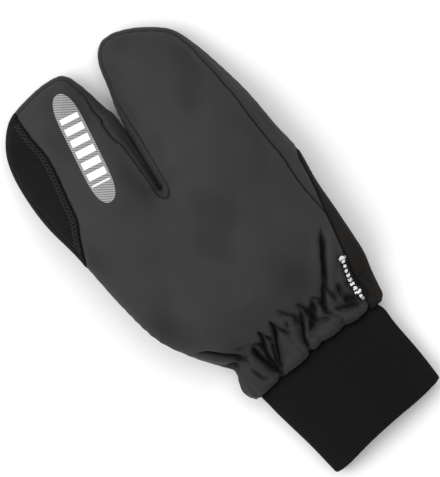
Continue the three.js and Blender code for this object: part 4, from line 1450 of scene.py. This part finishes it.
def woven_tape(context):
    """Black woven tape with plain white dashes"""
    if "woven_tape" in bpy.data.materials:
        return bpy.data.materials["woven_tape"]
    colours = context.scene.mitt_colours
    material, tree, shader = new_material("woven_tape")
    uv = on_cloth(tree)
    across, along = parted(tree, uv)
    uneven = noise(tree, uv, 7.0, 1.0)
    steps = calculate(tree, "MULTIPLY_ADD", uneven, 0.7, product(tree, along, 10.0))
    dash = near_to(tree, calculate(tree, "FRACT", steps), 0.5, 0.3)
    band = near_to(tree, across, 0.42, calculate(tree, "MULTIPLY_ADD", uneven, 0.7, -0.12))
    head = near_to(tree, along, 0.045, 0.025)
    marks = calculate(tree, "MAXIMUM", product(tree, dash, band), head)
    threads = node(tree, "ShaderNodeMapping", {"Vector": uv, "Scale": (30.0, 110.0, 1.0)})
    weave = placed_effect(tree, plain_weave(), Vector=threads.outputs["Vector"], Threads=1.0)
    worn = calculate(tree, "MULTIPLY_ADD", weave.outputs["Gaps"], -0.35, 1.0)
    finish_colour(tree, shader, colours.label, colours.mark, product(tree, marks, worn))
    surface(tree, shader, 0.75, 0.1)
    bumps(tree, shader, (weave.outputs["Height"], 0.5, 0.0001))
    return material


def reflective_film(context):
    """Grey hatched film with plain bars across it"""
    if "reflective_film" in bpy.data.materials:
        return bpy.data.materials["reflective_film"]
    colours = context.scene.mitt_colours
    material, tree, shader = new_material("reflective_film")
    across, along = parted(tree, on_cloth(tree))
    slant = calculate(tree, "MULTIPLY_ADD", across, 0.55, along)
    hatch = calculate(tree, "FRACT", product(tree, slant, 1000 / HATCH_PITCH))
    hatched = product(tree, calculate(tree, "GREATER_THAN", hatch, 0.42), 0.42)
    beat = calculate(tree, "FRACT", product(tree, along, 1000 / BAR_PITCH))
    bar = product(tree, near_to(tree, beat, 0.5, 0.3), near_to(tree, along, 0.0345, 0.0222))
    bars = product(tree, bar, near_to(tree, across, 0.0, 0.0058))
    finish_colour(tree, shader, colours.shell, colours.mark, calculate(tree, "MAXIMUM", bars, hatched))
    set_inputs(tree, shader, {"Roughness": 0.45})
    return material


def thread(context):
    """Black sewing thread"""
    if "thread" in bpy.data.materials:
        return bpy.data.materials["thread"]
    base = tinted(context.scene.mitt_colours.suede, 1.5)
    material, tree, shader = new_material("thread")
    dye = placed_effect(tree, uneven_dye(), Vector=in_space(tree), Patches=200.0, Flecks=4000.0)
    finish_colour(tree, shader, tinted(base, 0.7), base, dye.outputs["Fleck"])
    set_inputs(tree, shader, {"Roughness": 0.55})
    return material


class MITT_OT_studio(Operator):
    """Pale floor, soft light and the camera over the mitt"""

    bl_idname = "mitt.studio"
    bl_label = "Studio"

    def execute(self, context):
        scene = context.scene
        colours = scene.mitt_colours
        bm = bmesh.new()
        bmesh.ops.create_grid(bm, x_segments=2, y_segments=2, size=6.0)
        material, tree, shader = new_material("studio_floor")
        set_inputs(tree, shader, {"Base Color": (*colours.floor, 1.0)})
        surface(tree, shader, 0.9, 0.0)
        object_from(bm, "floor", material)
        scene.world = bpy.data.worlds.new("studio_air")
        scene.world.use_nodes = True
        air = scene.world.node_tree
        set_inputs(air, air.nodes["Background"], {"Color": (1.0, 1.0, 1.0, 1.0), "Strength": 0.75})
        for name, place, size, energy in (
            ("key_light", (-1.1, 0.6, 1.5), 1.5, 20.0),
            ("fill_light", (0.5, 0.7, 1.6), 1.8, 9.0),
        ):
            light = bpy.data.lights.new(name, "AREA")
            light.shape = "DISK"
            light.size = size
            light.energy = energy
            holder = bpy.data.objects.new(name, light)
            holder.location = place
            holder.rotation_euler = (-Vector(place)).to_track_quat("-Z", "Y").to_euler()
            scene.collection.objects.link(holder)
        camera = bpy.data.cameras.new("photo_view")
        camera.sensor_fit = "VERTICAL"
        camera.sensor_height = 24.0
        camera.lens = camera.sensor_height * VIEW_DISTANCE / VIEW_HEIGHT
        camera.clip_end = 20.0
        holder = bpy.data.objects.new("photo_view", camera)
        holder.location = Vector(VIEW_MIDDLE) + Vector((0, 0, VIEW_DISTANCE))
        holder.rotation_euler = (0.0, 0.0, VIEW_TURN)
        scene.collection.objects.link(holder)
        scene.camera = holder
        scene.view_settings.view_transform = "Standard"
        return {"FINISHED"}


class MITT_PT_pieces(Panel):
    """Pieces of the mitt, in the order that they are made in"""

    bl_idname = "MITT_PT_pieces"
    bl_label = "Lobster claw mitt"
    bl_space_type = "VIEW_3D"
    bl_region_type = "UI"
    bl_category = "Mitt"

    def draw(self, context):
        for step in STEPS:
            self.layout.operator(step.bl_idname)
        for group in (context.scene.mitt_sizes, context.scene.mitt_colours):
            box = self.layout.box()
            for name in group.bl_rna.properties.keys():
                if name not in ("rna_type", "name"):
                    box.prop(group, name)


STEPS = (
    MITT_OT_back_panel,
    MITT_OT_side_strip,
    MITT_OT_index_patch,
    MITT_OT_palm_panel,
    MITT_OT_thumb,
    MITT_OT_rib_cuff,
    MITT_OT_side_tag,
    MITT_OT_reflective_transfer,
    MITT_OT_studio,
)
CLASSES = (MittSizes, MittColours, *STEPS, MITT_PT_pieces)


def register():
    for made in CLASSES:
        bpy.utils.register_class(made)
    bpy.types.Scene.mitt_sizes = PointerProperty(type=MittSizes)
    bpy.types.Scene.mitt_colours = PointerProperty(type=MittColours)


def unregister():
    del bpy.types.Scene.mitt_colours
    del bpy.types.Scene.mitt_sizes
    for made in reversed(CLASSES):
        bpy.utils.unregister_class(made)


def main():
    register()
    for step in STEPS:
        group, name = step.bl_idname.split(".")
        getattr(getattr(bpy.ops, group), name)()


if __name__ == "__main__":
    main()
